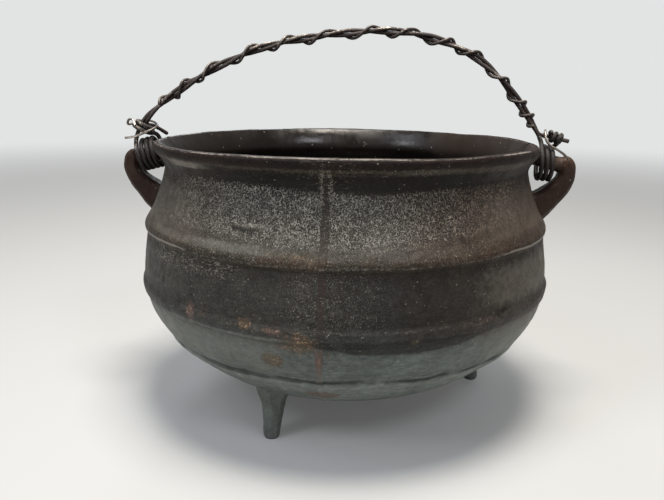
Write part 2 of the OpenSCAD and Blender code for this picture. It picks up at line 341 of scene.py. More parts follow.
def grain_group():
    """Pale grains as a fine upright worm pattern. Density runs from 0, none, to 1, nearly closed."""
    tree, given, wanted = new_group("sand_grains", [
        ("Place", "Vector", None), ("Size", "Float", 0.00065), ("Stretch", "Float", 1.3),
        ("Density", "Float", 0.3)], ["Mask"])
    scale = maths(tree, "DIVIDE", 1.0, given["Size"])
    upright = maths(tree, "DIVIDE", scale, given["Stretch"])
    per_axis = add(tree, "CombineXYZ", {"X": scale, "Y": scale, "Z": upright}).outputs[0]
    place = add(tree, "VectorMath", {0: given["Place"], 1: per_axis}, operation="MULTIPLY").outputs[0]
    worms = add(tree, "TexNoise", {"Vector": place, "Scale": 0.55, "Detail": 1.0, "Distortion": 0.5}).outputs["Fac"]
    off_line = maths(tree, "ABSOLUTE", maths(tree, "SUBTRACT", worms, 0.5))
    half_width = maths(tree, "MULTIPLY", given["Density"], 0.072)
    line = maths(tree, "SUBTRACT", 1.0, ranged(tree, off_line, maths(tree, "MULTIPLY", half_width, 0.45),
                                               maths(tree, "MULTIPLY_ADD", half_width, 1.25, 0.001)))
    cuts = add(tree, "TexNoise", {"Vector": place, "Scale": 0.9, "Detail": 1.0}).outputs["Fac"]
    grain = maths(tree, "MULTIPLY", line, ranged(tree, cuts, 0.40, 0.50))
    uneven = add(tree, "TexNoise", {"Vector": place, "Scale": 0.25, "Detail": 2.0}).outputs["Fac"]
    strength = ranged(tree, uneven, 0.32, 0.66, 0.45, 1.0)
    feed(tree, wanted["Mask"], maths(tree, "MULTIPLY", grain, strength))
    return tree


def fleck_group():
    """Scattered flecks, each a rounded cell of its own, for chips, dust and flaked rust."""
    tree, given, wanted = new_group("flecks", [
        ("Place", "Vector", None), ("Size", "Float", 0.002), ("Share", "Float", 0.1)], ["Mask"])
    scale = maths(tree, "DIVIDE", 1.0, given["Size"])
    bend = add(tree, "TexNoise", {"Vector": given["Place"], "Scale": scale, "Detail": 2.0}).outputs["Color"]
    warp = add(tree, "VectorMath", {0: bend, 3: given["Size"]}, operation="SCALE").outputs[0]
    place = add(tree, "VectorMath", {0: given["Place"], 1: warp}, operation="ADD").outputs[0]
    cells = add(tree, "TexVoronoi", {"Vector": place, "Scale": scale})
    chance = add(tree, "SeparateColor", {"Color": cells.outputs["Color"]}).outputs["Red"]
    present = maths(tree, "LESS_THAN", chance, given["Share"])
    feed(tree, wanted["Mask"], maths(tree, "MULTIPLY", present, ranged(tree, cells.outputs["Distance"], 0.5, 0.25)))
    return tree


def broken_group():
    """A mask whose edge and middle are broken up by noise, for rust, painted shade and pale edges."""
    tree, given, wanted = new_group("broken_mask", [
        ("Place", "Vector", None), ("Mask", "Float", 0.0), ("Size", "Float", 0.004),
        ("Break", "Float", 1.0), ("Softness", "Float", 0.2)], ["Mask"])
    scale = maths(tree, "DIVIDE", 1.0, given["Size"])
    grain = add(tree, "TexNoise", {"Vector": given["Place"], "Scale": scale, "Detail": 5.0, "Roughness": 0.65})
    offset = maths(tree, "SUBTRACT", grain.outputs["Fac"], 0.5)
    shifted = maths(tree, "MULTIPLY_ADD", offset, given["Break"], given["Mask"])
    low = maths(tree, "SUBTRACT", 0.5, given["Softness"])
    high = maths(tree, "ADD", 0.5, given["Softness"])
    cut = ranged(tree, shifted, low, high)
    inside = ranged(tree, given["Mask"], 0.02, 0.12)
    feed(tree, wanted["Mask"], maths(tree, "MULTIPLY", cut, inside))
    return tree


def mottle_group():
    """Cloudy light and dark over a surface, at two sizes. The value runs from 0 to 1."""
    tree, given, wanted = new_group("mottle", [
        ("Place", "Vector", None), ("Size", "Float", 0.03), ("Contrast", "Float", 1.0)], ["Value"])
    scale = maths(tree, "DIVIDE", 1.0, given["Size"])
    wide = add(tree, "TexNoise", {"Vector": given["Place"], "Scale": scale, "Detail": 3.0, "Distortion": 0.6})
    finer = maths(tree, "MULTIPLY", scale, 6.0)
    small = add(tree, "TexNoise", {"Vector": given["Place"], "Scale": finer, "Detail": 4.0, "Roughness": 0.6})
    both = maths(tree, "ADD", wide.outputs["Fac"], small.outputs["Fac"])
    spread = maths(tree, "MULTIPLY", maths(tree, "SUBTRACT", both, 1.0), given["Contrast"])
    feed(tree, wanted["Value"], maths(tree, "ADD", spread, 0.5, clamp=True))
    return tree


def streak_group():
    """Fine streaks that lie level round the casting. The value runs from 0 to 1."""
    tree, given, wanted = new_group("level_streaks", [
        ("Place", "Vector", None), ("Length", "Float", 0.005), ("Width", "Float", 0.001)], ["Value"])
    along = maths(tree, "DIVIDE", 1.0, given["Length"])
    up = maths(tree, "DIVIDE", 1.0, given["Width"])
    per_axis = add(tree, "CombineXYZ", {"X": along, "Y": along, "Z": up}).outputs[0]
    place = add(tree, "VectorMath", {0: given["Place"], 1: per_axis}, operation="MULTIPLY").outputs[0]
    streaks = add(tree, "TexNoise", {"Vector": place, "Scale": 1.0, "Detail": 4.0, "Roughness": 0.6})
    feed(tree, wanted["Value"], ranged(tree, streaks.outputs["Fac"], 0.32, 0.68))
    return tree


def skin_group():
    """Height of a cast surface: sandy grain, soft lumps and a few small pits."""
    tree, given, wanted = new_group("cast_skin", [
        ("Place", "Vector", None), ("Sand", "Float", 1.0), ("Lumps", "Float", 1.0), ("Pits", "Float", 1.0)],
        ["Height"])
    place = given["Place"]
    sand = maths(tree, "MULTIPLY", noise(tree, place, 0.0011, 3.0, 0.7), given["Sand"])
    lumps = maths(tree, "MULTIPLY", noise(tree, place, 0.0075, 2.0, 0.5), given["Lumps"])
    cells = add(tree, "TexVoronoi", {"Vector": place, "Scale": 1 / 0.0052})
    chance = add(tree, "SeparateColor", {"Color": cells.outputs["Color"]}).outputs["Red"]
    pit = maths(tree, "MULTIPLY", ranged(tree, cells.outputs["Distance"], 0.30, 0.08),
                maths(tree, "LESS_THAN", chance, 0.16))
    total = maths(tree, "MULTIPLY_ADD", lumps, 1.6, sand)
    feed(tree, wanted["Height"], maths(tree, "SUBTRACT", total, maths(tree, "MULTIPLY", pit, given["Pits"])))
    return tree


GRAINS = grain_group()
FLECKS = fleck_group()
BROKEN = broken_group()
MOTTLE = mottle_group()
STREAKS = streak_group()
SKIN = skin_group()

# Colours of the casting's skin by height, from the underside up
SKIN_BY_HEIGHT = [
    (0.000, "6e7470"), (0.042, "747a76"), (0.0495, "787e79"), (0.053, "606663"), (0.070, "5b615f"),
    (0.0765, "4f5350"), (0.0805, "3c3d3a"), (0.088, "33312d"), (0.106, "33312d"), (0.114, "302d28"),
    (0.1180, "2f2b25"), (0.1218, "39342c"), (0.1258, "444039"), (0.1300, "403c35"), (0.136, "35322c"),
    (0.150, "302d28"), (0.156, "211d18"), (0.163, "231e19"), (0.1655, "28221d"), (0.168, "1e1712"),
    (0.1715, "1d1613")]
GRAIN_COLOUR = "a09e93"
WARM_TINT = "d8bcb0"
# Paler colour for dust, and for painted sheen and highlights
DUST_AND_SHEEN_COLOUR = "72726a"
# Pale edges: partly rubbed wear, partly painted highlight along the lip, ledge, bands and fold
EDGE_WEAR_AND_HIGHLIGHT_COLOUR = "8c847a"
# Painted shade, for the shade under the lip and the belly band and in the creases
PAINTED_SHADE_COLOUR = "171513"
BROWN_COLOUR = "3d2f24"
CHIP_COLOUR = "a39e8e"
SEAM_BY_HEIGHT = [(0.0, "645952"), (0.055, "6a5a52"), (0.074, "584a44"), (0.082, "3a302c"), (0.100, "3d302d"),
                  (0.118, "382c28"), (0.132, "362e29"), (0.150, "2b2421"), (0.1725, "2b2421")]
# From pink through orange to ochre and olive: the stain, the flakes in it and their palest specks
RUST_STAINS = [(0.0, "6b5850"), (0.35, "5a4a3e"), (0.7, "4f4735"), (1.0, "494739")]
RUST_FLAKES = [(0.0, "9a7a6e"), (0.35, "9f7a60"), (0.7, "8f7e58"), (1.0, "787254")]
RUST_SPECKS = "bda48c"


def ramp_of(tree, value, stops):
    """A colour ramp with its stops given as a place and a colour."""
    made = add(tree, "ValToRGB", {"Fac": value})
    elements = made.color_ramp.elements
    while len(elements) < len(stops):
        elements.new(0.5)
    for element, (at, code) in zip(elements, stops):
        element.position = at
        element.color = srgb(code)
    return made.outputs["Color"]


def tinted(tree, share, colour, tint):
    """A colour multiplied by a tint, by a share from 0 to 1."""
    made = add(tree, "Mix", data_type="RGBA", blend_type="MULTIPLY")
    feed(tree, made.inputs["Factor"], share)
    feed(tree, made.inputs[6], colour)
    feed(tree, made.inputs[7], tint)
    return made.outputs[2]


def broken(tree, place, mask, size, break_up, softness):
    return place_group(tree, BROKEN, {"Place": place, "Mask": mask, "Size": size, "Break": break_up,
                                      "Softness": softness})["Mask"]


def shaded(tree, colour, value, darkest, lightest):
    """A colour made darker or lighter as a value goes from 0 to 1."""
    level = maths(tree, "MULTIPLY_ADD", value, lightest - darkest, darkest)
    return add(tree, "VectorMath", {0: colour, 3: level}, operation="SCALE").outputs[0]


def pot_iron_material():
    """The vessel's outside: skin coloured by height, grains, dust and painted sheen, painted shade, pale edges that are
    partly wear and partly painted highlight, and rust.
    """
    material, tree, shader = new_material("pot_iron")
    place = object_place(tree)
    height = add(tree, "SeparateXYZ", {"Vector": place}).outputs["Z"]
    waver = maths(tree, "MULTIPLY_ADD", noise(tree, place, 0.016, 4.0, 0.62), 0.011, -0.0055)
    share = maths(tree, "DIVIDE", maths(tree, "ADD", height, waver), LIP_Z)
    colour = ramp_of(tree, share, [(at / LIP_Z, code) for at, code in SKIN_BY_HEIGHT])
    cloud = place_group(tree, MOTTLE, {"Place": place, "Size": 0.03, "Contrast": 1.6})["Value"]
    colour = shaded(tree, colour, cloud, 0.66, 1.34)
    streaks = place_group(tree, STREAKS, {"Place": place, "Length": 0.006, "Width": 0.0013})["Value"]
    colour = shaded(tree, colour, streaks, 0.82, 1.18)
    fine = maths(tree, "SUBTRACT", ranged(tree, noise(tree, place, 0.0019, 4.0, 0.75), 0.3, 0.7), 0.5)
    sandy = ranged(tree, height, 0.068, 0.088, 0.45, 1.0)
    colour = shaded(tree, colour, maths(tree, "MULTIPLY_ADD", fine, sandy, 0.5), 0.70, 1.30)
    brown = broken(tree, place, mask_of(tree, "brown"), 0.005, 1.5, 0.3)
    colour = mixed(tree, maths(tree, "MULTIPLY", brown, 0.7), colour, srgb(BROWN_COLOUR))
    # Dust, and painted sheen and highlights where the sides turn away, on the slope and under the lip
    dust_and_sheen = broken(tree, place, mask_of(tree, "dust_and_sheen"), 0.0032, 1.1, 0.4)
    colour = mixed(tree, maths(tree, "MULTIPLY", dust_and_sheen, 0.6), colour, srgb(DUST_AND_SHEEN_COLOUR))
    colour = tinted(tree, mask_of(tree, "warm"), colour, srgb(WARM_TINT))
    # Painted shade under the lip, under the belly band, in the creases and on the front of the wall
    painted_shade = broken(tree, place, mask_of(tree, "painted_shade"), 0.006, 0.9, 0.35)
    colour = mixed(tree, maths(tree, "MULTIPLY", painted_shade, 0.72), colour, srgb(PAINTED_SHADE_COLOUR))
    seam = broken(tree, place, mask_of(tree, "seam"), 0.0035, 1.0, 0.35)
    seam_colour = ramp_of(tree, share, [(at / LIP_Z, code) for at, code in SEAM_BY_HEIGHT])
    colour = mixed(tree, maths(tree, "MULTIPLY", seam, 0.75), colour, seam_colour)

    patchy = ranged(tree, noise(tree, place, 0.011, 3.0), 0.32, 0.66, 0.72, 1.1)
    density = maths(tree, "MULTIPLY", mask_of(tree, "grain"), patchy)
    grain = place_group(tree, GRAINS, {"Place": place, "Size": 0.0006, "Stretch": 1.3, "Density": density})["Mask"]
    grain_colour = tinted(tree, mask_of(tree, "warm"), srgb(GRAIN_COLOUR), srgb(WARM_TINT))
    colour = mixed(tree, maths(tree, "MULTIPLY", grain, 0.85), colour, grain_colour)

    # Pale edges, partly rubbed wear and partly painted highlight
    edge = broken(tree, place, mask_of(tree, "edge"), 0.0022, 1.5, 0.3)
    colour = mixed(tree, maths(tree, "MULTIPLY", edge, 0.7), colour, srgb(EDGE_WEAR_AND_HIGHLIGHT_COLOUR))
    chip_share = maths(tree, "MULTIPLY_ADD", mask_of(tree, "chips"), 0.30, 0.012)
    chips = place_group(tree, FLECKS, {"Place": place, "Size": 0.0008, "Share": chip_share})["Mask"]
    scrapes = place_group(tree, STREAKS, {"Place": place, "Length": 0.0022, "Width": 0.0008})["Value"]
    scrapes = maths(tree, "MULTIPLY", ranged(tree, scrapes, 0.72, 0.95), mask_of(tree, "chips"))
    chips = maths(tree, "MAXIMUM", chips, scrapes)
    colour = mixed(tree, maths(tree, "MULTIPLY", chips, 0.6), colour, srgb(CHIP_COLOUR))

    rust = broken(tree, place, mask_of(tree, "rust"), 0.0022, 1.5, 0.25)
    tone = maths(tree, "ADD", mask_of(tree, "rust_tone"),
                 maths(tree, "MULTIPLY_ADD", noise(tree, place, 0.0018, 3.0), 1.4, -0.7))
    colour = mixed(tree, maths(tree, "MULTIPLY", rust, 0.6), colour, ramp_of(tree, tone, RUST_STAINS))
    flaked = maths(tree, "MULTIPLY", rust, ranged(tree, noise(tree, place, 0.0016, 3.0, 0.7, 0.5), 0.54, 0.62))
    colour = mixed(tree, maths(tree, "MULTIPLY", flaked, 0.75), colour, ramp_of(tree, tone, RUST_FLAKES))
    specks = ranged(tree, noise(tree, place, 0.0009, 2.0, 0.6), 0.60, 0.67)
    colour = mixed(tree, maths(tree, "MULTIPLY", flaked, specks), colour, srgb(RUST_SPECKS))
    feed(tree, shader.inputs["Base Color"], colour)

    gloss = ranged(tree, noise(tree, place, 0.009, 4.0), 0.3, 0.7, 0.42, 0.58)
    matt = maths(tree, "MAXIMUM", grain, rust)
    feed(tree, shader.inputs["Roughness"], maths(tree, "MULTIPLY_ADD", matt, 0.22, gloss))
    shader.inputs["Specular IOR Level"].default_value = 0.14

    skin = place_group(tree, SKIN, {"Place": place, "Sand": 1.0, "Lumps": 1.0, "Pits": 0.9})["Height"]
    raised = maths(tree, "MULTIPLY_ADD", grain, 0.7, skin)
    raised = maths(tree, "MULTIPLY_ADD", rust, 0.8, raised)
    raised = maths(tree, "MULTIPLY_ADD", streaks, 0.35, raised)
    bump = add(tree, "Bump", {"Height": raised, "Strength": 0.9, "Distance": 0.00028})
    feed(tree, shader.inputs["Normal"], bump.outputs["Normal"])
    return material


INSIDE_BY_HEIGHT = [(0.0, "0d0b0a"), (0.11, "0d0b0a"), (0.145, "100d0b"), (0.160, "120e0b"), (0.170, "110d0b")]


def seasoned_material():
    """The vessel's inside: dark and seasoned by cooking, glossy in smears."""
    material, tree, shader = new_material("seasoned_iron")
    place = object_place(tree)
    height = add(tree, "SeparateXYZ", {"Vector": place}).outputs["Z"]
    colour = ramp_of(tree, maths(tree, "DIVIDE", height, LIP_Z), [(at / LIP_Z, code) for at, code in INSIDE_BY_HEIGHT])
    cloud = place_group(tree, MOTTLE, {"Place": place, "Size": 0.028, "Contrast": 1.5})["Value"]
    colour = shaded(tree, colour, cloud, 0.65, 1.35)
    brown = broken(tree, place, mask_of(tree, "brown"), 0.012, 0.7, 0.4)
    colour = mixed(tree, maths(tree, "MULTIPLY", brown, 0.7), colour, srgb("1e140e"))
    # The lip's edges, partly rubbed pale and partly a painted highlight
    edge = broken(tree, place, mask_of(tree, "edge"), 0.0026, 1.2, 0.35)
    colour = mixed(tree, maths(tree, "MULTIPLY", edge, 0.62), colour, srgb(EDGE_WEAR_AND_HIGHLIGHT_COLOUR))
    specks = place_group(tree, FLECKS, {"Place": place, "Size": 0.0016, "Share": 0.012})["Mask"]
    colour = mixed(tree, maths(tree, "MULTIPLY", specks, 0.4), colour, srgb("8a8680"))
    feed(tree, shader.inputs["Base Color"], colour)
    smear = ranged(tree, noise(tree, place, 0.016, 5.0, 0.6, 0.5), 0.35, 0.68, 0.20, 0.38)
    feed(tree, shader.inputs["Roughness"], maths(tree, "MULTIPLY_ADD", brown, 0.55, smear))
    shader.inputs["Specular IOR Level"].default_value = 0.27
    shader.inputs["Specular Tint"].default_value = srgb("f0ece6")
    skin = place_group(tree, SKIN, {"Place": place, "Sand": 0.35, "Lumps": 1.1, "Pits": 0.4})["Height"]
    bump = add(tree, "Bump", {"Height": skin, "Strength": 0.5, "Distance": 0.0002})
    feed(tree, shader.inputs["Normal"], bump.outputs["Normal"])
    return material


EAR_BY_HEIGHT = [(0.0, "616661"), (0.036, "656a65"), (0.06, "3e3e3a"), (0.12, "31241d"), (0.145, "2e201a"),
                 (0.17, "33241c")]


def ear_iron_material():
    """Ears and legs: nearly smooth dark casting, worn on its corners."""
    material, tree, shader = new_material("ear_iron")
    place = object_place(tree)
    height = add(tree, "SeparateXYZ", {"Vector": place}).outputs["Z"]
    colour = ramp_of(tree, maths(tree, "DIVIDE", height, LIP_Z), [(at / LIP_Z, code) for at, code in EAR_BY_HEIGHT])
    cloud = place_group(tree, MOTTLE, {"Place": place, "Size": 0.014, "Contrast": 1.5})["Value"]
    colour = shaded(tree, colour, cloud, 0.68, 1.32)
    edge = broken(tree, place, mask_of(tree, "edge"), 0.003, 0.9, 0.4)
    colour = mixed(tree, maths(tree, "MULTIPLY", edge, 0.4), colour, srgb("62584f"))
    specks = place_group(tree, FLECKS, {"Place": place, "Size": 0.0014, "Share": 0.03})["Mask"]
    colour = mixed(tree, maths(tree, "MULTIPLY", specks, 0.4), colour, srgb("8d8a80"))
    rust = broken(tree, place, mask_of(tree, "rust"), 0.004, 1.2, 0.2)
    colour = mixed(tree, maths(tree, "MULTIPLY", rust, 0.55), colour, srgb("57402f"))
    feed(tree, shader.inputs["Base Color"], colour)
    feed(tree, shader.inputs["Roughness"], ranged(tree, noise(tree, place, 0.008, 4.0), 0.3, 0.7, 0.4, 0.6))
    shader.inputs["Specular IOR Level"].default_value = 0.16
    skin = place_group(tree, SKIN, {"Place": place, "Sand": 0.8, "Lumps": 1.1, "Pits": 0.9})["Height"]
    bump = add(tree, "Bump", {"Height": skin, "Strength": 0.8, "Distance": 0.00022})
    feed(tree, shader.inputs["Normal"], bump.outputs["Normal"])
    return material


def wire_material(name, bare, oxide, rusty, bare_share, roughness):
    """Drawn wire: a dull oxide skin mottled with rust, and bare metal where it is rubbed and where a highlight is
    painted.
    """
    material, tree, shader = new_material(name)
    place = object_place(tree)
    cloud = place_group(tree, MOTTLE, {"Place": place, "Size": 0.006, "Contrast": 1.6})["Value"]
    colour = mixed(tree, cloud, srgb(rusty), srgb(oxide))
    # Bare metal where rubbed, and where a highlight or shade is painted into the wire
    rubbed_and_lit = maths(tree, "MULTIPLY", mask_of(tree, "rubbed_and_lit"), bare_share)
    shine = broken(tree, place, rubbed_and_lit, 0.0022, 1.3, 0.2)
    feed(tree, shader.inputs["Base Color"], mixed(tree, shine, colour, srgb(bare)))
    feed(tree, shader.inputs["Metallic"], maths(tree, "MULTIPLY_ADD", shine, 0.6, 0.25))
    feed(tree, shader.inputs["Roughness"], maths(tree, "MULTIPLY_ADD", shine, -0.2, roughness))
    marks = noise(tree, place, 0.0006, 3.0, 0.6)
    flakes = noise(tree, place, 0.0025, 3.0, 0.6)
    bump = add(tree, "Bump", {"Height": maths(tree, "MULTIPLY_ADD", flakes, 1.5, marks),
                              "Strength": 0.6, "Distance": 0.00012})
    feed(tree, shader.inputs["Normal"], bump.outputs["Normal"])
    return material


# Vessel

def bowl_radius(height, inset=0.0):
    drop = np.clip((BELLY_Z - height) / (BOWL_DEPTH - inset), 0, 1)
    return (BELLY_R - inset) * (1 - drop ** BOWL_DOWN) ** (1 / BOWL_ACROSS)


def bowl_curve(inset, count):
    height = BELLY_Z - (BOWL_DEPTH - inset) * np.sin(np.linspace(math.pi / 2, 0, count))
    return np.column_stack([bowl_radius(height, inset), height])


def wall_curve(inset, count):
    t = np.linspace(0, 1, count)
    top = SHOULDER_Z - 0.0046
    return np.column_stack([BELLY_R - 0.0004 - inset - 0.0035 * t ** 1.8, WALL_FOOT_Z + (top - WALL_FOOT_Z) * t])


def neck_curve(inset, count):
    t = np.linspace(0, 1, count)
    radius = NECK_R - inset + (SHOULDER_R - NECK_R) * (1 - t) ** 1.35
    return np.column_stack([radius, SHOULDER_Z + (NECK_Z - SHOULDER_Z) * t])


def flare_curve(inset, reach, top, count):
    t = np.linspace(0, 1, count)[1:]
    return np.column_stack([NECK_R - inset + reach * t ** 1.7, NECK_Z + (top - NECK_Z) * t])


def outer_profile():
    ledge = [[SHOULDER_R - 0.0003, SHOULDER_Z - 0.0044], [SHOULDER_R + 0.0003, SHOULDER_Z - 0.0026],
             [SHOULDER_R + 0.0001, SHOULDER_Z - 0.0004]]
    lip = [[LIP_R, LIP_FLARE_TOP + 0.0014], [LIP_R, LIP_Z - 0.0017], [LIP_R - 0.0007, LIP_Z - 0.0005],
           [LIP_R - 0.002, LIP_Z]]
    flare = flare_curve(0, LIP_R - 0.0005 - NECK_R, LIP_FLARE_TOP, 24)
    return np.vstack([bowl_curve(0, 200), wall_curve(0, 40), ledge, neck_curve(0, 60), flare, lip])


def inner_profile():
    flare = flare_curve(WALL, 0.0062, LIP_Z - 0.0012, 24)
    outline = [bowl_curve(WALL, 160), wall_curve(WALL, 30), neck_curve(WALL, 50), flare,
               [[LIP_R - 0.0044, LIP_Z]]]
    return np.vstack(outline)[::-1]


def row_spacing(profile, inside):
    """How far apart the vessel's rings are: close at the bands and the lip, wide elsewhere."""
    height = profile[:, 1]
    close = np.maximum.reduce([
        hill(height, BELLY_BAND_Z, 0.006, 0.003), hill(height, LOW_BAND_Z, 0.003, 0.003),
        hill(height, SHOULDER_Z - 0.002, 0.006, 0.004)]) * (1 - inside)
    close = np.maximum(close, ramp(height, 0.162, 0.166))
    return (0.0013 + 0.0011 * inside) * (1 - close) + 0.00042 * close


def vessel_rows():
    """Rings of the vessel from the middle of its underside, over the lip, to its inner bottom."""
    outer, inner = outer_profile(), inner_profile()
    profile = np.vstack([outer, inner])
    steps = np.linalg.norm(np.diff(profile, axis=0), axis=1)
    length = np.concatenate([[0], np.cumsum(steps)])
    fine = np.linspace(0, length[-1], 6000)
    line = np.column_stack([np.interp(fine, length, profile[:, k]) for k in (0, 1)])
    inside = (fine > length[len(outer) - 1] + 0.001).astype(float)
    for _ in range(160):
        line[1:-1] = 0.25 * line[:-2] + 0.5 * line[1:-1] + 0.25 * line[2:]
    count = np.concatenate([[0], np.cumsum(np.diff(fine) / row_spacing(line, inside)[1:])])
    wanted = np.linspace(0, count[-1], int(count[-1]))[1:-1]
    rows = np.column_stack([np.interp(wanted, count, line[:, k]) for k in (0, 1)])
    tangent = np.gradient(rows, axis=0)
    tangent /= np.linalg.norm(tangent, axis=1)[:, None]
    outward = np.column_stack([tangent[:, 1], -tangent[:, 0]])
    return rows, outward, np.interp(wanted, count, inside) > 0.5


# Where the front seam runs: height and azimuth in degrees, the back one is opposite
SEAM_COURSE = [(0.020, 266.4), (0.058, 266.8), (0.087, 267.6), (0.132, 267.9), (0.170, 268.1)]
SEAM_FOOT = 0.030
SEAM_TOP = 0.166


def seam_azimuth(height):
    heights, azimuths = zip(*SEAM_COURSE)
    return np.interp(height, heights, azimuths)


def vessel_azimuths():
    """Directions round the vessel, closer together where the two seams run."""
    step, fine = 0.5, 0.125
    even = np.arange(0, 360, step)
    near = [np.arange(middle - 3, middle + 3, fine) for middle in (87.4, 267.4)]
    return np.unique(np.round(np.concatenate([even, *near]), 3))


def across_seam(azimuth, height, radius):
    """Signed distance from the nearer seam's middle, along the surface."""
    off = (azimuth - seam_azimuth(height) + 90) % 180 - 90
    return np.radians(off) * radius


# Rust and flaked spots: azimuth, height, half width, half height, tone from pink to olive, strength
RUST_SPOTS = [
    (233.8, 0.0861, 0.0020, 0.0036, 0.0, 1.0), (237.6, 0.0862, 0.0030, 0.0010, 0.3, 0.6),
    (250.1, 0.0868, 0.0024, 0.0022, 0.5, 1.2), (245.0, 0.0850, 0.0034, 0.0010, 0.9, 0.62),
    (256.8, 0.0842, 0.0040, 0.0016, 0.1, 0.8), (253.5, 0.0850, 0.0030, 0.0010, 0.9, 0.6),
    (259.6, 0.0757, 0.0050, 0.0008, 0.05, 0.8), (256.1, 0.0665, 0.0036, 0.0026, 0.55, 1.5),
    (263.1, 0.0785, 0.0054, 0.0040, 0.5, 1.15), (260.8, 0.0830, 0.0036, 0.0020, 0.4, 0.62),
    (267.2, 0.0690, 0.0019, 0.0070, 0.05, 0.56), (269.6, 0.0720, 0.0010, 0.0024, 0.4, 0.6),
    (266.6, 0.0384, 0.0052, 0.0022, 0.15, 1.8), (262.6, 0.1236, 0.0070, 0.0014, 0.55, 0.66),
    (256.0, 0.1240, 0.0060, 0.0008, 0.6, 0.56), (265.6, 0.1212, 0.0022, 0.0024, 0.55, 0.66),
    (306.4, 0.0842, 0.0110, 0.0034, 0.3, 0.36), (288.5, 0.0799, 0.0018, 0.0016, 1.0, 0.8),
    (60.0, 0.0850, 0.0060, 0.0030, 0.3, 0.9), (72.0, 0.0790, 0.0050, 0.0034, 0.8, 0.8),
    (98.0, 0.0660, 0.0036, 0.0028, 0.1, 0.9), (118.0, 0.0860, 0.0070, 0.0022, 0.5, 0.75),
    (131.0, 0.1225, 0.0080, 0.0014, 0.6, 0.64), (148.0, 0.0420, 0.0045, 0.0022, 0.1, 0.9),
    (172.0, 0.0840, 0.0056, 0.0028, 0.7, 0.75), (20.0, 0.0845, 0.0080, 0.0020, 0.4, 0.7),
    (345.0, 0.1220, 0.0070, 0.0014, 0.5, 0.6), (88.0, 0.0400, 0.0045, 0.0022, 0.05, 0.9)]

# Shallow pits cast into the skin: azimuth, height, radius, depth
PITS = [(313.6, 0.0877, 0.0026, 0.0009), (311.6, 0.0860, 0.0016, 0.0006), (245.0, 0.0646, 0.0022, 0.0005),
        (295.1, 0.0380, 0.0020, 0.0006), (281.0, 0.0560, 0.0018, 0.0005), (222.0, 0.0980, 0.0020, 0.0005),
        (130.0, 0.1010, 0.0026, 0.0008), (50.0, 0.1080, 0.0020, 0.0006), (105.0, 0.0560, 0.0024, 0.0006)]

# A cold shut where the iron folded over on the neck: azimuth, height, half width, depth
FOLD = (248.8, 0.1364, 0.010, 0.0008)


def spot(azimuth, height, radius, spot_azimuth, spot_height, half_width, half_height):
    """1 in the middle of a spot, 0.5 on its outline and 0 further out."""
    across = np.radians((azimuth - spot_azimuth + 180) % 360 - 180) * radius / half_width
    up = (height - spot_height) / half_height
    return np.clip(1 - 0.5 * np.hypot(across, up), 0, 1)


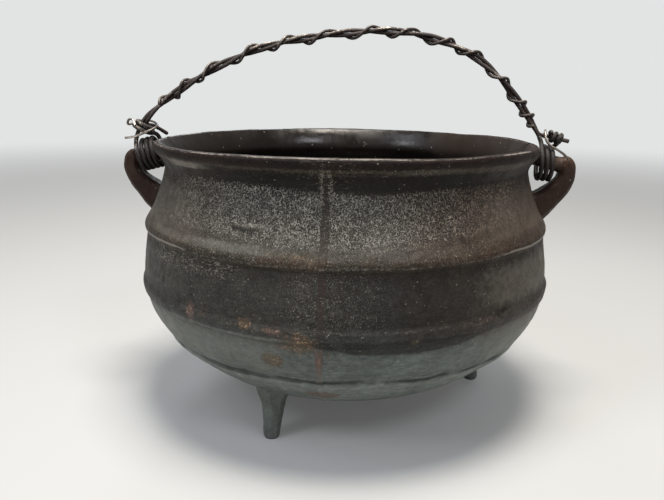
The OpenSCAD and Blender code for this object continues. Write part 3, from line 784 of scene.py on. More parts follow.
def vessel_shape():
    """Points and faces of the vessel, and what its masks need to know about each point."""
    rows, outward, inside = vessel_rows()
    azimuths = vessel_azimuths()
    turn = np.radians(azimuths)
    sides = len(azimuths)
    radius = np.repeat(rows[:, 0], sides)
    height = np.repeat(rows[:, 1], sides)
    azimuth = np.tile(azimuths, len(rows))
    inner = np.repeat(inside, sides).astype(float)
    direction = np.column_stack([np.cos(np.tile(turn, len(rows))), np.sin(np.tile(turn, len(rows)))])
    points = np.column_stack([direction * radius[:, None], height])
    normal = np.column_stack([direction * np.repeat(outward[:, 0], sides)[:, None],
                              np.repeat(outward[:, 1], sides)])
    outer = 1 - inner

    # Cast bands, whose edges wander a little
    wander = 0.0005 * rough(points * [1, 1, 0.2], 0.022, 11)
    rise = height + wander
    uneven = 0.85 + 0.25 * bumps(points, 0.018, 17)
    belly_band = ramp(rise, 0.0775, 0.0793) * (1 - ramp(rise, 0.0834, 0.0885))
    low_rise = rise + 0.0009 * rough(points * [1, 1, 0.2], 0.012, 13)
    low_band = ramp(low_rise, 0.0405, 0.0502) * (1 - ramp(low_rise, 0.0511, 0.0523))
    lift = (BELLY_BAND_PROUD * belly_band + LOW_BAND_PROUD * low_band) * uneven

    # Mould seams
    seam_away = np.abs(across_seam(azimuth, height, radius) + 0.0003 * bumps(points, 0.009, 23))
    seam_span = ramp(height, SEAM_FOOT - 0.01, SEAM_FOOT) * (1 - ramp(height, SEAM_TOP - 0.004, SEAM_TOP))
    seam = (1 - ramp(seam_away, SEAM_HALF_WIDTH - 0.0004, SEAM_HALF_WIDTH + 0.0005)) * seam_span
    lift += SEAM_PROUD * seam * (0.75 + 0.35 * bumps(points, 0.011, 29))

    # Casting's own unevenness, rougher under the belly, smoother inside
    lift += 0.00040 * bumps(points, 0.055, 31) + 0.00014 * rough(points, 0.016, 37)
    lift += 0.00005 * rough(points, 0.0045, 41) * (1 + 0.8 * (1 - ramp(height, 0.03, 0.09)))
    for pit_azimuth, pit_height, pit_radius, depth in PITS:
        pit = spot(azimuth, height, radius, pit_azimuth, pit_height, pit_radius, pit_radius)
        lift -= depth * (ramp(pit, 0.35, 0.75) - 0.35 * hill(pit, 0.38, 0.06, 0.12))
    fold_azimuth, fold_height, fold_half_width, fold_depth = FOLD
    fold_across = np.radians(azimuth - fold_azimuth) * radius / fold_half_width
    fold_line = fold_height - 0.0012 * np.cos(1.6 * fold_across) + 0.0004 * bumps(points, 0.004, 43)
    fold = (1 - ramp(np.abs(fold_across), 0.7, 1.1)) * hill(height - fold_line, 0.0012, 0.0001, 0.0014)
    lift += fold_depth * fold
    points = points + normal * (lift * outer + 0.4 * lift * inner * ramp(radius, 0.01, 0.03))[:, None]

    # The ledge is chipped, and it and the belly band rise a little towards the ears
    chipped = ramp(bumps(points * [1, 1, 0.5], 0.007, 71), 0.25, 0.8) * hill(height, SHOULDER_Z - 0.0022, 0.0008, 0.0014)
    points -= normal * (0.0005 * chipped * outer)[:, None]
    towards_ears = np.cos(np.radians(azimuth)) ** 2
    banded = hill(height, SHOULDER_Z - 0.0022, 0.003, 0.010) + hill(height, BELLY_BAND_Z, 0.003, 0.010)
    points[:, 2] += BAND_RISE * towards_ears * np.minimum(banded, 1) * outer

    # The lip's top wavers by a few tenths
    near_lip = ramp(height, 0.164, 0.170)
    points[:, 2] += 0.00035 * near_lip * rough(points * [1, 1, 0], 0.045, 47)
    radial = 0.0003 * near_lip * rough(points * [1, 1, 0], 0.02, 53)
    points[:, :2] += direction * radial[:, None]

    faces = [tuple(reversed(f)) for f in stitched_rings(len(rows), sides)]
    first, last = len(points), len(points) + 1
    final_ring = (len(rows) - 1) * sides
    faces += [(first, (k + 1) % sides, k) for k in range(sides)]
    faces += [(last, final_ring + k, final_ring + (k + 1) % sides) for k in range(sides)]
    poles = [[0, 0, BELLY_Z - BOWL_DEPTH], [0, 0, BELLY_Z - BOWL_DEPTH + WALL]]
    facts = {"points": points, "azimuth": azimuth, "height": height, "radius": radius, "inner": inner,
             "seam": seam, "seam_away": seam_away, "rise": rise, "low_rise": low_rise, "fold": fold,
             "below_fold": fold_line - height}
    return np.vstack([points, poles]), faces, facts


def grain_mask(facts):
    """How thickly grains lie: on the neck all round, and thinly between the bands."""
    azimuth, height = facts["azimuth"], facts["height"]
    top_by_azimuth = [(200, 0.158), (230, 0.1575), (250, 0.1568), (266, 0.1542), (281, 0.1531),
                      (297, 0.1552), (318, 0.1560), (340, 0.157)]
    foot_by_azimuth = [(200, 0.136), (234, 0.1315), (253, 0.1290), (267, 0.1272), (281, 0.1275),
                       (295, 0.1308), (315, 0.1350), (340, 0.138)]
    top = np.interp(azimuth, *zip(*top_by_azimuth), period=360)
    foot = np.interp(azimuth, *zip(*foot_by_azimuth), period=360)
    span = ramp(height, foot - 0.004, foot + 0.003) * (1 - ramp(height, top - 0.0008, top + 0.0014))
    front = ramp(azimuth, 214, 229) * (1 - ramp(azimuth, 318, 334))
    back = sector(azimuth, 92, 40, 25)
    neck = span * (0.32 + 0.68 * np.maximum(front, 0.85 * back))
    wall = ramp(height, 0.084, 0.092) * (1 - ramp(height, 0.110, 0.121))
    wall_places = np.maximum.reduce([sector(azimuth, 270, 7, 9), 0.25 * sector(azimuth, 248, 12, 12),
                                     0.6 * sector(azimuth, 95, 25, 20)])
    beside_seam = hill(facts["seam_away"], SEAM_HALF_WIDTH + 0.0006, 0.0006, 0.0012)
    upper_seam = beside_seam * ramp(height, 0.146, 0.150) * (1 - ramp(height, 0.164, 0.168))
    slope = 0.26 * ramp(height, 0.116, 0.120) * (1 - ramp(height, 0.128, 0.131)) * np.maximum(front, 0.3)
    under_lip = 0.22 * hill(height, 0.1650, 0.0010, 0.0016)
    away_from_seam = 1 - 0.85 * facts["seam"]
    fold_foot = hill(facts["below_fold"], 0.0012, 0.0007, 0.0010) * sector(azimuth, 248, 3, 2)
    neck = neck * (1 - 0.9 * fold_foot)
    return np.maximum.reduce([neck, 0.23 * wall * wall_places, 0.75 * upper_seam, slope, under_lip,
                              0.03 + 0 * neck]) * away_from_seam * (1 - facts["inner"])


def edge_wear_and_highlight_mask(facts):
    """Pale lines, partly edges rubbed pale and partly painted highlight: the lip's two edges, the ledges' edges, the
    belly and low bands, the fold, and a painted highlight under the lip at the left.
    """
    azimuth, height, rise, radius = facts["azimuth"], facts["height"], facts["rise"], facts["radius"]
    uneven = bumps(facts["points"], 0.014, 59)
    # Painted highlight: the ledge's line is brighter on the two flanks, and the lip's edges brighter at the left
    flanks = np.maximum(sector(azimuth, 212, 10, 12), 0.8 * sector(azimuth, 334, 12, 12))
    ledge = hill(rise, SHOULDER_Z - 0.0026, 0.0003, 0.0006) * (0.34 + 1.1 * flanks)
    outer_lip = hill(radius, LIP_R - 0.0012, 0.0002, 0.0005) * ramp(height, LIP_Z - 0.0016, LIP_Z - 0.0008)
    inner_lip = 0.6 * hill(radius, LIP_R - 0.0044, 0.0001, 0.0004) * ramp(height, LIP_Z - 0.0022, LIP_Z - 0.0012)
    brightest = sector(azimuth, 244, 10, 16)
    lip = (outer_lip + inner_lip) * (0.52 + 0.25 * brightest + 0.45 * uneven)
    belly = 0.22 * hill(rise, 0.0856, 0.0003, 0.0009) * sector(azimuth, 284, 12, 8)
    low = hill(facts["low_rise"], LOW_BAND_Z - 0.0006, 0.0004, 0.0010) * (0.30 + 0.3 * uneven)
    under_lip = 0.58 * hill(height, 0.1643, 0.0014, 0.0018) * sector(azimuth, 225, 4, 7)
    return np.clip(np.maximum.reduce([ledge, lip, belly, low, under_lip, 0.25 * facts["fold"]]), 0, 1)


def chip_mask(facts):
    """Where small pale chips gather: under the left of the ledge, by the seam's top and on the fold."""
    azimuth, height = facts["azimuth"], facts["height"]
    under_ledge = 0.8 * sector(azimuth, 231, 11, 10) * hill(height, 0.1125, 0.0026, 0.0030)
    beside_seam = hill(facts["seam_away"], SEAM_HALF_WIDTH, 0.0005, 0.0009)
    seam_top = 1.2 * beside_seam * ramp(height, 0.147, 0.151) * (1 - ramp(height, 0.165, 0.168))
    near_fold = 1.6 * facts["fold"] * np.maximum(sector(azimuth, 247, 2.4, 2.0), sector(azimuth, 252.5, 1.4, 1.6))
    lip_foot = 0.30 * hill(height, 0.1655, 0.0010, 0.0014) * sector(azimuth, 280, 14, 10)
    near_seam = 0.16 * hill(facts["seam_away"], 0.006, 0.004, 0.006) * ramp(height, 0.06, 0.07)
    return np.maximum.reduce([under_ledge, seam_top, near_fold, lip_foot, near_seam]) * (1 - facts["inner"])


def seam_mask(facts):
    """The seam's strip shows at the top of the neck, on the wall and most under the belly band."""
    strengths = [(0.03, 0.20), (0.052, 0.30), (0.060, 0.65), (0.073, 0.85), (0.077, 0.35), (0.087, 0.40), (0.092, 0.62),
                 (0.112, 0.62), (0.120, 0.40), (0.132, 0.60), (0.146, 0.80), (0.152, 0.90), (0.166, 0.80)]
    return facts["seam"] * np.interp(facts["height"], *zip(*strengths))


def brown_mask(facts):
    """Brown patches: along the ledge outside, and on the flare inside, towards the right ear."""
    azimuth, height = facts["azimuth"], facts["height"]
    ledge = hill(height, 0.1200, 0.0018, 0.0026)
    places = np.maximum.reduce([0.62 * sector(azimuth, 261, 7, 7), 0.30 * sector(azimuth, 240, 14, 14),
                                0.42 * sector(azimuth, 298, 22, 12), 0.4 * sector(azimuth, 100, 60, 20)])
    flank = 0.42 * sector(azimuth, 222, 5, 9) * hill(height, 0.138, 0.007, 0.006)
    outside = np.maximum(ledge * places, flank) * (1 - facts["inner"])
    flare = np.maximum(sector(azimuth, 12, 32, 24), 0.4 * sector(azimuth, 168, 24, 22))
    return outside + facts["inner"] * ramp(height, 0.140, 0.162) * flare


def painted_shade_mask(facts):
    """Painted shade: dark bands under the lip and under the belly band, a dark line in the crease over the low band and
    under the fold, and a darker patch on the front of the wall.
    """
    azimuth, height = facts["azimuth"], facts["height"]
    under_lip = hill(height, 0.1598, 0.0032, 0.003) * (0.14 + 0.86 * sector(azimuth, 276, 30, 20))
    middle = sector(azimuth, 286, 18, 10)
    foot = np.interp(azimuth, [262, 275, 288, 300, 312], [0.0790, 0.0735, 0.0725, 0.0745, 0.0800])
    under_belly = middle * ramp(height, foot - 0.0012, foot + 0.0010) * (1 - ramp(height, 0.0790, 0.0835))
    broken_up = 0.75 + 0.6 * bumps(facts["points"], 0.011, 67)
    thick = 0.0005 + 0.0006 * sector(azimuth, 247, 10, 8) + 0.0004 * bumps(facts["points"], 0.016, 73)
    crease = hill(facts["low_rise"], LOW_BAND_Z + 0.0019, np.maximum(thick, 0), 0.0010) * np.clip(broken_up, 0, 1)
    wall = 0.46 * hill(height, 0.1, 0.012, 0.010) * sector(azimuth, 285, 12, 16)
    under_fold = 1.3 * hill(facts["below_fold"], 0.0014, 0.0003, 0.0008) * sector(azimuth, 248.0, 2.4, 1.5)
    wall = np.maximum(wall, under_fold)
    return np.maximum.reduce([0.8 * under_lip, 0.88 * under_belly, 0.85 * crease, wall]) * (1 - facts["inner"])


def warm_mask(facts):
    """Where the skin is browner: the neck and shoulder towards the ears, and the lip."""
    azimuth, height = facts["azimuth"], facts["height"]
    right = 0.8 * sector(azimuth, 344, 36, 24) + 0.2 * sector(azimuth, 350, 18, 14)
    left = 0.42 * sector(azimuth, 214, 14, 18)
    back = 0.6 * sector(azimuth, 130, 30, 30)
    upper = ramp(height, 0.112, 0.121)
    lip = ramp(height, 0.1635, 0.1665)
    right_wall = 0.55 * sector(azimuth, 318, 22, 16) * ramp(height, 0.066, 0.084)
    return np.maximum.reduce([upper * np.maximum.reduce([right, left, back]), 0.8 * lip, right_wall])


def dust_and_sheen_mask(facts):
    """Paler skin, partly dust and partly painted light: dust along the lip's foot and the belly band's foot, a painted
    highlight under the lip at the left, on the slope and by the fold, and painted sheen where the sides turn away.
    """
    azimuth, height = facts["azimuth"], facts["height"]
    under_lip = 0.9 * hill(height, 0.1644, 0.0008, 0.0018) * sector(azimuth, 226, 5, 8)
    right_lip = 0.55 * hill(height, 0.1650, 0.0010, 0.0014) * sector(azimuth, 306, 16, 12)
    lip_foot = 0.45 * hill(height, 0.1660, 0.0004, 0.0010)
    # Painted sheen where the sides turn away
    left, right = sector(azimuth, 208, 14, 24), sector(azimuth, 330, 12, 24)
    flank = np.maximum(left, right)
    bowl = 0.74 * np.maximum(flank, 0.85 * sector(azimuth, 238, 14, 16))
    bowl *= ramp(height, 0.050, 0.060) * (1 - ramp(height, 0.074, 0.084))
    wall = (0.30 * left + 0.62 * right) * ramp(height, 0.086, 0.096) * (1 - ramp(height, 0.108, 0.118))
    slope = hill(height, 0.1248, 0.0014, 0.0026) * np.maximum(0.55 * sector(azimuth, 234, 17, 12),
                                                              0.20 * sector(azimuth, 278, 14, 12))
    neck = (0.50 * left + 0.60 * right) * ramp(height, 0.124, 0.130) * (1 - ramp(height, 0.146, 0.156))
    band_foot = 0.62 * hill(height, 0.0800, 0.0004, 0.0011) * sector(azimuth, 245, 17, 5)
    by_fold = 0.55 * sector(azimuth, 253, 2.0, 2.2) * hill(height, 0.1362, 0.0007, 0.0012)
    return np.maximum.reduce([under_lip, right_lip, lip_foot, bowl, wall, slope, neck, band_foot, by_fold]) * (
        1 - facts["inner"])


def rust_masks(facts):
    strength = np.zeros(len(facts["azimuth"]))
    tone = np.zeros(len(strength))
    for azimuth, height, half_width, half_height, spot_tone, power in RUST_SPOTS:
        near = power * spot(facts["azimuth"], facts["height"], facts["radius"], azimuth, height,
                            1.3 * half_width, 1.3 * half_height)
        tone = np.where(near > strength, spot_tone, tone)
        strength = np.maximum(strength, near)
    return strength * (1 - facts["inner"]), tone


def make_vessel(outside, inside):
    points, faces, facts = vessel_shape()
    vessel = new_object("vessel_casting", points, faces, outside)
    vessel.data.materials.append(inside)
    rust, tone = rust_masks(facts)
    masks = {"grain": grain_mask(facts), "edge": edge_wear_and_highlight_mask(facts), "painted_shade": painted_shade_mask(facts),
             "warm": warm_mask(facts), "dust_and_sheen": dust_and_sheen_mask(facts), "rust": rust, "rust_tone": tone,
             "seam": seam_mask(facts), "brown": brown_mask(facts), "chips": chip_mask(facts)}
    for name, values in masks.items():
        set_mask(vessel, name, np.append(values, [0, 0]))
    seen_inside = np.append(facts["inner"], [0, 1])
    by_face = [int(min(seen_inside[v] for v in face)) for face in faces]
    vessel.data.polygons.foreach_set("material_index", by_face)
    return vessel


def wall_radius(height):
    """Outer radius of the vessel at a height, without its bands."""
    profile = outer_profile()
    return np.interp(height, profile[:, 1], profile[:, 0])


def keep_in_wall(points, depth):
    """Points that would come out inside the vessel are drawn back into its wall."""
    radius = np.hypot(points[:, 0], points[:, 1])
    least = wall_radius(points[:, 2]) - depth
    short = (radius < least) & (points[:, 2] > BELLY_Z)
    scale = np.where(short, least / radius, 1)
    points[:, :2] *= scale[:, None]
    return points


# Ears and legs, as closed lofts that are fused and then weathered

def section(thickness, width, bevel, sides):
    """Outline of an arm or leg: a rectangle whose corners are cut off. A bevel of 0 stands for round."""
    t, w = thickness / 2, width / 2
    a = (np.arange(sides) + 0.5) * 2 * math.pi / sides
    if bevel == 0:
        return np.column_stack([t * np.cos(a), w * np.sin(a)])
    cut = min(bevel, 0.75 * t, 0.75 * w)
    corners = np.array([[t - cut, w], [cut - t, w], [-t, w - cut], [-t, cut - w], [cut - t, -w], [t - cut, -w],
                        [t, cut - w], [t, w - cut], [t - cut, w]])
    lengths = np.concatenate([[0], np.cumsum(np.linalg.norm(np.diff(corners, axis=0), axis=1))])
    places = np.linspace(0, lengths[-1], sides, endpoint=False)
    return np.column_stack([np.interp(places, lengths, corners[:, k]) for k in (0, 1)])


def loft(stations, sides, steps):
    """Points and faces through stations in the XZ plane: x, z, thickness, width and bevel."""
    smooth = smooth_line(stations, steps)
    line = np.column_stack([smooth[:, 0], np.zeros(len(smooth)), smooth[:, 1]])
    heading = np.gradient(line, axis=0)
    heading /= np.linalg.norm(heading, axis=1)[:, None]
    rings = []
    for place, t, (thickness, width, bevel) in zip(line, heading, smooth[:, 2:]):
        beside = np.array([t[2], 0, -t[0]])
        outline = section(thickness, width, bevel, sides)
        rings.append(place + outline[:, :1] * beside + outline[:, 1:] * np.array([0, 1.0, 0]))
    points = np.vstack(rings)
    last = (len(rings) - 1) * sides
    caps = [tuple(reversed(range(sides))), tuple(range(last, last + sides))]
    return points, stitched_rings(len(rings), sides) + caps


def fused(name, parts, voxel, smoothing, material):
    """One closed casting from lofts that overlap, with its inner corners filled a little."""
    points, faces, start = [], [], 0
    for part_points, part_faces in parts:
        points.append(part_points)
        faces += [tuple(start + v for v in face) for face in part_faces]
        start += len(part_points)
    made = new_object(name, np.vstack(points), faces, material)
    remesh = made.modifiers.new("fuse", "REMESH")
    remesh.mode = "VOXEL"
    remesh.voxel_size = voxel
    soften = made.modifiers.new("soften", "SMOOTH")
    soften.factor = 0.5
    soften.iterations = smoothing
    evaluated = made.evaluated_get(bpy.context.evaluated_depsgraph_get())
    mesh = bpy.data.meshes.new_from_object(evaluated)
    made.modifiers.clear()
    made.data = mesh
    mesh.polygons.foreach_set("use_smooth", [True] * len(mesh.polygons))
    return made


def points_of(piece):
    flat = np.zeros(3 * len(piece.data.vertices))
    piece.data.vertices.foreach_get("co", flat)
    return flat.reshape(-1, 3)


def normals_of(piece):
    flat = np.zeros(3 * len(piece.data.vertices))
    piece.data.vertices.foreach_get("normal", flat)
    return flat.reshape(-1, 3)


def set_points(piece, points):
    piece.data.vertices.foreach_set("co", np.asarray(points, np.float32).ravel())
    piece.data.update()


def corner_mask(piece):
    """1 on outer corners and 0 on flats, from how far each point stands out of its neighbours."""
    points, normals = points_of(piece), normals_of(piece)
    edges = np.zeros(2 * len(piece.data.edges), int)
    piece.data.edges.foreach_get("vertices", edges)
    edges = edges.reshape(-1, 2)
    middle = points
    for _ in range(6):
        total, count = np.zeros_like(points), np.zeros(len(points))
        for one, other in ((0, 1), (1, 0)):
            np.add.at(total, edges[:, one], middle[edges[:, other]])
            np.add.at(count, edges[:, one], 1)
        middle = total / count[:, None]
    proud = np.sum((points - middle) * normals, axis=1)
    return ramp(proud, 0.4 * proud.max(), 0.85 * proud.max())


def weather(piece, seed, lumps, edge=None, rust_near=None):
    """Gives a fused casting its small unevenness and the masks that its material reads."""
    corners = corner_mask(piece)
    points = points_of(piece)
    lift = lumps * rough(points, 0.009, seed) + 0.00008 * rough(points, 0.003, seed + 7)
    lift -= 0.00012 * corners * (1 + bumps(points, 0.004, seed + 13))
    set_points(piece, points + normals_of(piece) * lift[:, None])
    set_mask(piece, "edge", corners if edge is None else np.maximum(corners, edge(points)))
    set_mask(piece, "rust", np.zeros(len(points)) if rust_near is None else rust_near(points))


# Ear stations in its own XZ plane: x, z, thickness, width, bevel
LOWER_ARM = [
    (0.1180, 0.1252, 0.0240, 0.0204, 0.004), (0.1228, 0.1279, 0.0218, 0.0184, 0.0034),
    (0.1297, 0.1320, 0.0184, 0.0154, 0.003), (0.1362, 0.1374, 0.0152, 0.0138, 0.0027),
    (0.1425, 0.1437, 0.0126, 0.0130, 0.0026), (0.1461, 0.1510, 0.0110, 0.0126, 0.0026),
    (0.1459, 0.1578, 0.0104, 0.0122, 0.0026), (0.1443, 0.1620, 0.0074, 0.0100, 0.002),
    (0.1436, 0.1634, 0.0044, 0.0070, 0.001)]
UPPER_ARM_REACH = [
    (-0.0165, 0.0160), (-0.0130, 0.0142), (-0.0100, 0.0116), (-0.0065, 0.0102), (0.0, 0.0099), (0.0070, 0.0100),
    (0.0105, 0.0108), (0.0120, 0.0100)]


def upper_arm():
    """Stations of the round arm that the wires turn on, from the lip's underside to the elbow."""
    stations = []
    for along, diameter in UPPER_ARM_REACH:
        x = PIVOT_X + along * math.cos(ARM_SLOPE)
        z = PIVOT_Z - along * math.sin(ARM_SLOPE)
        stations.append((x, z, diameter, diameter, 0))
    return stations


def worn_by_wire(points):
    """The arm is rubbed pale where the windings bear on it."""
    return 0.55 * hill(np.abs(points[:, 0]), PIVOT_X, 0.008, 0.004) * ramp(points[:, 2], 0.155, 0.160)


def ear_rust(points):
    return 0.5 * ramp(points[:, 2], 0.150, 0.166) + 0.25 * bumps(points, 0.012, 61)


def make_ear(name, side, material):
    ear = fused(name, [loft(LOWER_ARM, 48, 8), loft(upper_arm(), 32, 6)], 0.00042, 4, material)
    points = keep_in_wall(points_of(ear), 0.0022)
    set_points(ear, points * [side, 1, 1])
    if side < 0:
        ear.data.flip_normals()
    weather(ear, 70 + side, 0.00042, worn_by_wire, ear_rust)
    return ear


# Leg stations along its own line: shift outwards, height, radial size, size across, bevel
LEG_STATIONS = [
    (0.0000, -0.0010, 0.0020, 0.0020, 0.0010), (0.0000, -0.0008, 0.0066, 0.0064, 0.0022),
    (0.0000, 0.0002, 0.0084, 0.0084, 0.0026), (0.0000, 0.0022, 0.0094, 0.0094, 0.0026),
    (0.0000, 0.0080, 0.0104, 0.0104, 0.0028), (0.0000, 0.0160, 0.0117, 0.0120, 0.0032),
    (0.0002, 0.0210, 0.0130, 0.0134, 0.0036), (0.0008, 0.0250, 0.0158, 0.0154, 0.0044),
    (0.0012, 0.0285, 0.0200, 0.0188, 0.0060), (0.0012, 0.0320, 0.0240, 0.0230, 0.0090),
    (0.0012, 0.0380, 0.0256, 0.0256, 0.0096), (0.0012, 0.0460, 0.0260, 0.0260, 0.0098)]


def make_leg(name, angle, material):
    """A leg leans outwards, so its foot stands further out than its root."""
    leg = fused(name, [loft(LEG_STATIONS, 48, 6)], 0.00045, 3, material)
    points = points_of(leg)
    lean = Matrix.Rotation(-LEG_LEAN, 3, "Y")
    turn = Matrix.Rotation(angle, 3, "Z")
    points = points @ np.array(lean).T + [FOOT_CIRCLE_R, 0, 0]
    points[:, 2] = np.maximum(points[:, 2], 0)
    radius = np.hypot(points[:, 0], points[:, 1])
    bowl = np.interp(radius, bowl_curve(0, 200)[:, 0], bowl_curve(0, 200)[:, 1])
    points[:, 2] = np.minimum(points[:, 2], bowl + 0.0026)
    set_points(leg, points @ np.array(turn).T)
    weather(leg, 90 + round(math.degrees(angle)), 0.00022)
    points = points_of(leg)
    points[:, 2] = np.maximum(points[:, 2], 0)
    set_points(leg, points)
    return leg


# Bail: the same route and counts as the construction
BAIL_ROUTE = [
    (-0.1395, 0.177), (-0.137, 0.182), (-0.131, 0.189), (-0.117, 0.2), (-0.099, 0.2115), (-0.079, 0.222),
    (-0.058, 0.2305), (-0.037, 0.2355), (-0.015, 0.239), (0.008, 0.2415), (0.03, 0.242), (0.05, 0.239),
    (0.068, 0.2335), (0.084, 0.2255), (0.097, 0.2155), (0.108, 0.2035), (0.118, 0.1905), (0.125, 0.18),
    (0.127, 0.1755)]
LACING_CROSSINGS = [-0.125, -0.111, -0.094, -0.067, -0.043, -0.019, 0.011, 0.035, 0.061, 0.078, 0.099, 0.112,
                    0.118, 0.1225]
LEFT_CORE_TAIL = [(-0.126, 0.014, 0.1736), (-0.129, 0.0105, 0.1764), (-0.1325, 0.0065, 0.1793)]
RIGHT_CORE_TAIL = [(0.1315, 0.0017, 0.1773), (0.136, 0.0008, 0.1767), (0.141, -0.0004, 0.1752),
                   (0.146, -0.001, 0.174)]
LEFT_RISE = [(-0.1296, 0.0114, 0.168), (-0.1312, 0.01, 0.1726)]
RIGHT_RISE = [(0.138, 0.0096, 0.1684), (0.14, 0.0062, 0.1718)]
LEFT_TIE_ROUTE = [
    (-0.1495, -0.004, 0.1716), (-0.145, -0.0064, 0.1722), (-0.14, -0.0084, 0.1733), (-0.135, -0.0086, 0.1753),
    (-0.1306, -0.0072, 0.1772), (-0.1279, -0.0012, 0.1798), (-0.1322, 0.0054, 0.182), (-0.138, 0.0072, 0.183),
    (-0.144, 0.0054, 0.182), (-0.1478, 0.001, 0.1804), (-0.1478, -0.0026, 0.1814), (-0.1462, -0.004, 0.184),
    (-0.143, -0.0056, 0.184), (-0.1414, -0.0072, 0.1814)]
RIGHT_TIE_ROUTE = [
    (0.1314, 0.0054, 0.1756), (0.1312, 0.0034, 0.1796), (0.1304, -0.0006, 0.181), (0.1298, -0.0042, 0.1784),
    (0.1302, -0.0066, 0.1746), (0.1328, -0.0078, 0.1716), (0.137, -0.009, 0.1692), (0.1416, -0.009, 0.1662),
    (0.144, -0.0086, 0.1638)]

BAIL_LINE = smooth_line(BAIL_ROUTE, 12)
CORE_LAY_R = CORE_D / 2 + AIR / 2
BAIL_START = BAIL_ROUTE[0][0] + 0.0005
BAIL_END = BAIL_ROUTE[-1][0] - 0.0005
RINGS_PER_TURN = 40


def bail_middle(x):
    return np.array([x, 0, np.interp(x, BAIL_LINE[:, 0], BAIL_LINE[:, 1])])


def beside_bail(x, reach, angle):
    """A point beside the middle line: angle 0 is behind it, 90 above it and 180 in front of it."""
    step = 0.0004
    t = unit(bail_middle(x + step) - bail_middle(x - step))
    up = np.array([-t[2], 0, t[0]])
    a = math.radians(angle)
    return bail_middle(x) + reach * (math.cos(a) * np.array([0, 1.0, 0]) + math.sin(a) * up)


def core_angle(x, which):
    return 90 + 180 * which - 360 * (x - BAIL_START) / CORE_LAY


def core_line(which, start, end):
    stations = [x for x in smooth_line(BAIL_ROUTE, 10)[:, 0] if start < x < end]
    return np.array([beside_bail(x, CORE_LAY_R, core_angle(x, which)) for x in stations])


def lacing_line():
    """The lacing wire hugs the pair of core wires, so its distance follows their shape."""
    turns = np.arange(0, (len(LACING_CROSSINGS) - 1) * RINGS_PER_TURN + 1) / RINGS_PER_TURN
    places = np.interp(turns, range(len(LACING_CROSSINGS)), LACING_CROSSINGS)
    line = []
    for turn, x in zip(turns, places):
        angle = 180 - 360 * turn
        hug = abs(math.cos(math.radians(angle - core_angle(x, 0))))
        line.append(beside_bail(x, CORE_LAY_R * hug + CORE_D / 2 + LACE_D / 2 + AIR, angle))
    return np.array(line)


def turn_point(middle, along, up, shift, reach, angle):
    a = math.radians(angle)
    return middle + shift * along + reach * (math.cos(a) * up + math.sin(a) * np.cross(along, up))


WINDING_R = {-1: ARM_R + 0.00485, 1: ARM_R + 0.0058}      # left and right
WINDING_DROP = {-1: 0, 1: 0.0013}
WINDING_PITCH = CORE_D + 0.0008
BENT_WIRE_D = CORE_D + 0.0004      # rust and dirt thicken the wire where it is bent


def ear_turns(side, middle_x, tilt, first_angle, turns, first_shift, step):
    """Turns of a wire round an ear's arm, whose tops lean outwards by the tilt."""
    tilt = math.radians(tilt)
    along = np.array([side * math.cos(tilt), 0, -math.sin(tilt)])
    up = np.array([side * math.sin(tilt), 0, math.cos(tilt)])
    middle = np.array([middle_x, 0, PIVOT_Z - WINDING_DROP[side]])
    count = round(turns * RINGS_PER_TURN)
    return np.array([
        turn_point(middle, along, up, first_shift + step * WINDING_PITCH * i / RINGS_PER_TURN, WINDING_R[side],
                   side * (first_angle + 360 * i / RINGS_PER_TURN))
        for i in range(count + 1)])


def knot(start, towards, first_r, last_r, first_angle, turns, pitch):
    """Turns of a wire round a straight line; a negative count turns the other way."""
    start, towards = np.array(start, float), np.array(towards, float)
    along = unit(towards - start)
    up = np.array([0, 0, 1.0]) if abs(along[2]) < 0.9 else np.array([0, 1.0, 0])
    up = unit(up - (up @ along) * along)
    count = round(abs(turns) * RINGS_PER_TURN)
    sense = math.copysign(1, turns)
    return np.array([
        turn_point(start, along, up, pitch * i / RINGS_PER_TURN, first_r + (last_r - first_r) * i / count,
                   first_angle + sense * 360 * i / RINGS_PER_TURN)
        for i in range(count + 1)])


def winding_line(core_end, turns, rise, knot_turns):
    """Run-in from the core wire's end, turns round the ear, climb behind it and knot."""
    run_in = np.array([core_end[-1], core_end[-1] + CORE_D * unit(core_end[-1] - core_end[-2])])
    line = joined(joined(run_in, turns, 12), np.array(rise), 8)
    return straight_end(joined(line, knot_turns, 12), CORE_D)


def wire_lines():
    """Name, middle line and diameter of each wire."""
    core_1 = core_line(0, BAIL_START, BAIL_END)
    core_2 = joined(smooth_line(LEFT_CORE_TAIL, 6), core_line(1, BAIL_START + 0.0024, BAIL_END - 0.0009), 6)
    core_2 = joined(core_2, smooth_line(RIGHT_CORE_TAIL, 6), 6)
    left_turns = ear_turns(-1, -PIVOT_X - 0.0022, 14, 50, 3.64, 0.00425, -1)
    right_turns = ear_turns(1, PIVOT_X - 0.0009, 4, 42, 2.66, -0.0049, 1)
    left_knot = knot((-0.1386, 0, 0.176), (-0.1346, 0, 0.1826), 0.007, 0.0058, 265, 1.62, WINDING_PITCH)
    right_knot = knot((0.1412, -0.0003, 0.1752), (0.133, 0.0012, 0.1774), 0.003, 0.003, 90, -2.3, WINDING_PITCH)
    return [
        ("core_wire_1", core_1, CORE_D), ("core_wire_2", core_2, CORE_D), ("lacing_wire", lacing_line(), LACE_D),
        ("left_ear_winding", winding_line(core_1[::-1], left_turns, LEFT_RISE, left_knot), BENT_WIRE_D),
        ("right_ear_winding", winding_line(core_1, right_turns, RIGHT_RISE, right_knot), BENT_WIRE_D),
        ("left_tie_wire", straight_end(smooth_line(LEFT_TIE_ROUTE, 8), TIE_D), TIE_D),
        ("right_tie_wire", straight_end(smooth_line(RIGHT_TIE_ROUTE, 8), TIE_D), TIE_D)]


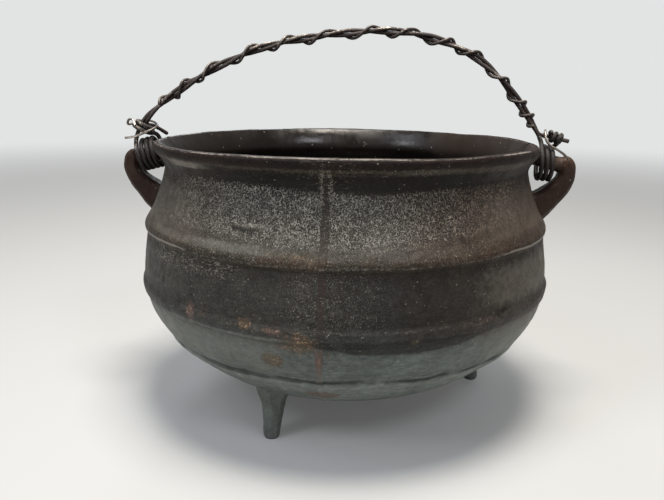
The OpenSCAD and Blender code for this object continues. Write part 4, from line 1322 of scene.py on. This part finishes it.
def rubbed_and_lit_mask(points, outwards, seed):
    """Where wires show bare bright metal: rubbed on the side that faces away from the bail's middle, a painted
    highlight on top, along the left half and on the outer left strand, and painted shade that dims the middle and
    darkens the windings.
    """
    x = np.clip(points[:, 0], BAIL_LINE[0, 0], BAIL_LINE[-1, 0])
    middle = np.column_stack([x, np.zeros(len(x)), np.interp(x, BAIL_LINE[:, 0], BAIL_LINE[:, 1])])
    away = points - middle
    away /= np.maximum(np.linalg.norm(away, axis=1), 1e-6)[:, None]
    crest = np.sum(away * outwards, axis=1)
    worn_and_lit = 0.44 * ramp(crest, 0.6, 1.0) + 0.22 * outwards[:, 2] + 0.3 * bumps(points, 0.012, seed)
    # Painted highlight along the left half, and painted shade dimming the middle
    worn_and_lit += 0.08 * (1 - ramp(points[:, 0], -0.06, 0.04)) - 0.06 * hill(points[:, 0], 0.03, 0.03, 0.04)
    # Painted highlight on the outer left strand, and painted shade on the windings
    left_strand = ramp(-points[:, 0], 0.1385, 0.1405) * (1 - ramp(points[:, 2], 0.172, 0.178))
    right_winding = ramp(points[:, 0], 0.127, 0.130) * (1 - ramp(points[:, 2], 0.170, 0.176))
    left_winding = ramp(-points[:, 0], 0.118, 0.121) * (1 - left_strand) * (1 - ramp(points[:, 2], 0.170, 0.176))
    return np.clip(worn_and_lit + 0.22 * left_strand - 0.30 * np.maximum(right_winding, left_winding), 0, 1)


def make_wire(name, line, diameter, sides, material, seed):
    spacing = 0.42 * diameter
    points, faces, outwards = tube(evened(line, spacing), diameter, sides, seed)
    points = points + outwards * (0.022 * diameter * bumps(points, 0.0016, seed + 3))[:, None]
    wire = new_object(name + "_strand", points, faces, material)
    set_mask(wire, "rubbed_and_lit", rubbed_and_lit_mask(points, outwards, seed + 5))
    return wire


# Floor, backdrop and light

FLOOR_R = 6.0
FLOOR_COLOUR = "aeaeac"
BACKDROP_COLOUR = "e2e4e4"
FLOOR_GLOW = 0.1        # share of the backdrop's own paleness in what the camera sees of the floor


def make_floor():
    """A pale floor that keeps the shadow and fades into the backdrop in the distance."""
    bpy.ops.mesh.primitive_circle_add(vertices=96, radius=FLOOR_R, fill_type="NGON", location=(0, 0, 0))
    floor = bpy.context.object
    floor.name = "floor"
    material, tree, shader = new_material("floor")
    shader.inputs["Base Color"].default_value = srgb(FLOOR_COLOUR)
    shader.inputs["Roughness"].default_value = 0.5
    shader.inputs["Specular IOR Level"].default_value = 0.2
    away = add(tree, "VectorMath", {0: object_place(tree)}, operation="LENGTH").outputs["Value"]
    far = ranged(tree, away, 0.6, 2.4, FLOOR_GLOW, 1.0)
    seen = add(tree, "LightPath").outputs["Is Camera Ray"]
    glow = add(tree, "Emission", {"Color": srgb(BACKDROP_COLOUR), "Strength": 1.0})
    blend = add(tree, "MixShader", {0: maths(tree, "MULTIPLY", far, seen), 1: shader.outputs[0],
                                    2: glow.outputs[0]})
    feed(tree, tree.nodes["Material Output"].inputs["Surface"], blend.outputs[0])
    floor.data.materials.append(material)


def make_world():
    """Soft light from all round; the camera and reflections see a plain pale backdrop."""
    world = bpy.data.worlds.new("studio")
    bpy.context.scene.world = world
    world.use_nodes = True
    tree = world.node_tree
    ambient = tree.nodes["Background"]
    ambient.inputs["Color"].default_value = srgb("faf8f4")
    ambient.inputs["Strength"].default_value = 0.28
    pale = add(tree, "Background", {"Color": srgb(BACKDROP_COLOUR), "Strength": 1.0})
    path = add(tree, "LightPath").outputs
    seen = maths(tree, "MAXIMUM", path["Is Camera Ray"], path["Is Transmission Ray"])
    mirrored = maths(tree, "MULTIPLY", path["Is Glossy Ray"], 0.28)
    share = maths(tree, "MAXIMUM", seen, mirrored)
    blend = add(tree, "MixShader", {0: share, 1: ambient.outputs[0], 2: pale.outputs[0]})
    feed(tree, tree.nodes["World Output"].inputs["Surface"], blend.outputs[0])


def make_lamp(name, place, target, size, power, colour):
    lamp = bpy.data.objects.new(name, bpy.data.lights.new(name, "AREA"))
    lamp.data.shape = "DISK"
    lamp.data.size = size
    lamp.data.energy = power
    lamp.data.color = srgb(colour)[:3]
    lamp.location = place
    lamp.rotation_euler = (Vector(target) - Vector(place)).to_track_quat("-Z", "Y").to_euler()
    bpy.context.scene.collection.objects.link(lamp)


def make_lights():
    make_lamp("ceiling_lamp", (0.05, -0.10, 1.25), (0, 0, 0.1), 0.5, 24.0, "fffaf2")
    make_lamp("window_left", (-0.80, -0.68, 0.90), (0, 0.05, 0.14), 0.35, 4.6, "ecf2ff")
    make_lamp("window_high", (-0.72, -0.46, 1.30), (0, 0.05, 0.14), 0.42, 3.2, "e6eeff")
    make_lamp("window_behind", (-0.30, 1.05, 0.80), (0, 0, 0.10), 0.4, 3.0, "f6f8ff")
    make_lamp("window_right", (0.50, -0.78, 0.95), (0, 0.05, 0.14), 0.35, 4.4, "eef2ff")


LEG_ANGLES = {"right_leg": 0, "back_left_leg": 120, "front_left_leg": 240}


def dress(piece, body, node):
    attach(piece, body)
    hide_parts(node)


def make_pot():
    outside, inside, iron = pot_iron_material(), seasoned_material(), ear_iron_material()
    dress(make_vessel(outside, inside), "pot", "vessel")
    dress(make_ear("left_ear_casting", -1, iron), "pot", "left_ear")
    dress(make_ear("right_ear_casting", 1, iron), "pot", "right_ear")
    for node, degrees in LEG_ANGLES.items():
        leg = make_leg(node + "_casting", RIGHT_LEG_ANGLE + math.radians(degrees), iron)
        dress(leg, "pot", node)


def make_bail():
    plain = wire_material("bail_wire", "8e8478", "3c322d", "2a211d", 0.8, 0.58)
    # A darker copy of the bail wire, as painted shade on the windings round the ears
    shaded_wire = wire_material("shaded_wound_wire", "8e8478", "261f1b", "1a1411", 0.8, 0.66)
    bright = wire_material("tie_wire", "c4beb4", "6b645b", "40362f", 1.25, 0.45)
    finishes = {CORE_D: plain, LACE_D: plain, BENT_WIRE_D: shaded_wire, TIE_D: bright}
    for seed, (node, line, diameter) in enumerate(wire_lines()):
        tie = diameter == TIE_D
        wire = make_wire(node, line, diameter, 12 if tie else 16, finishes[diameter], 100 + 10 * seed)
        dress(wire, "bail", node)


make_camera()
bpy.context.scene.view_settings.view_transform = "Standard"
make_floor()
make_world()
make_lights()
make_pot()
make_bail()
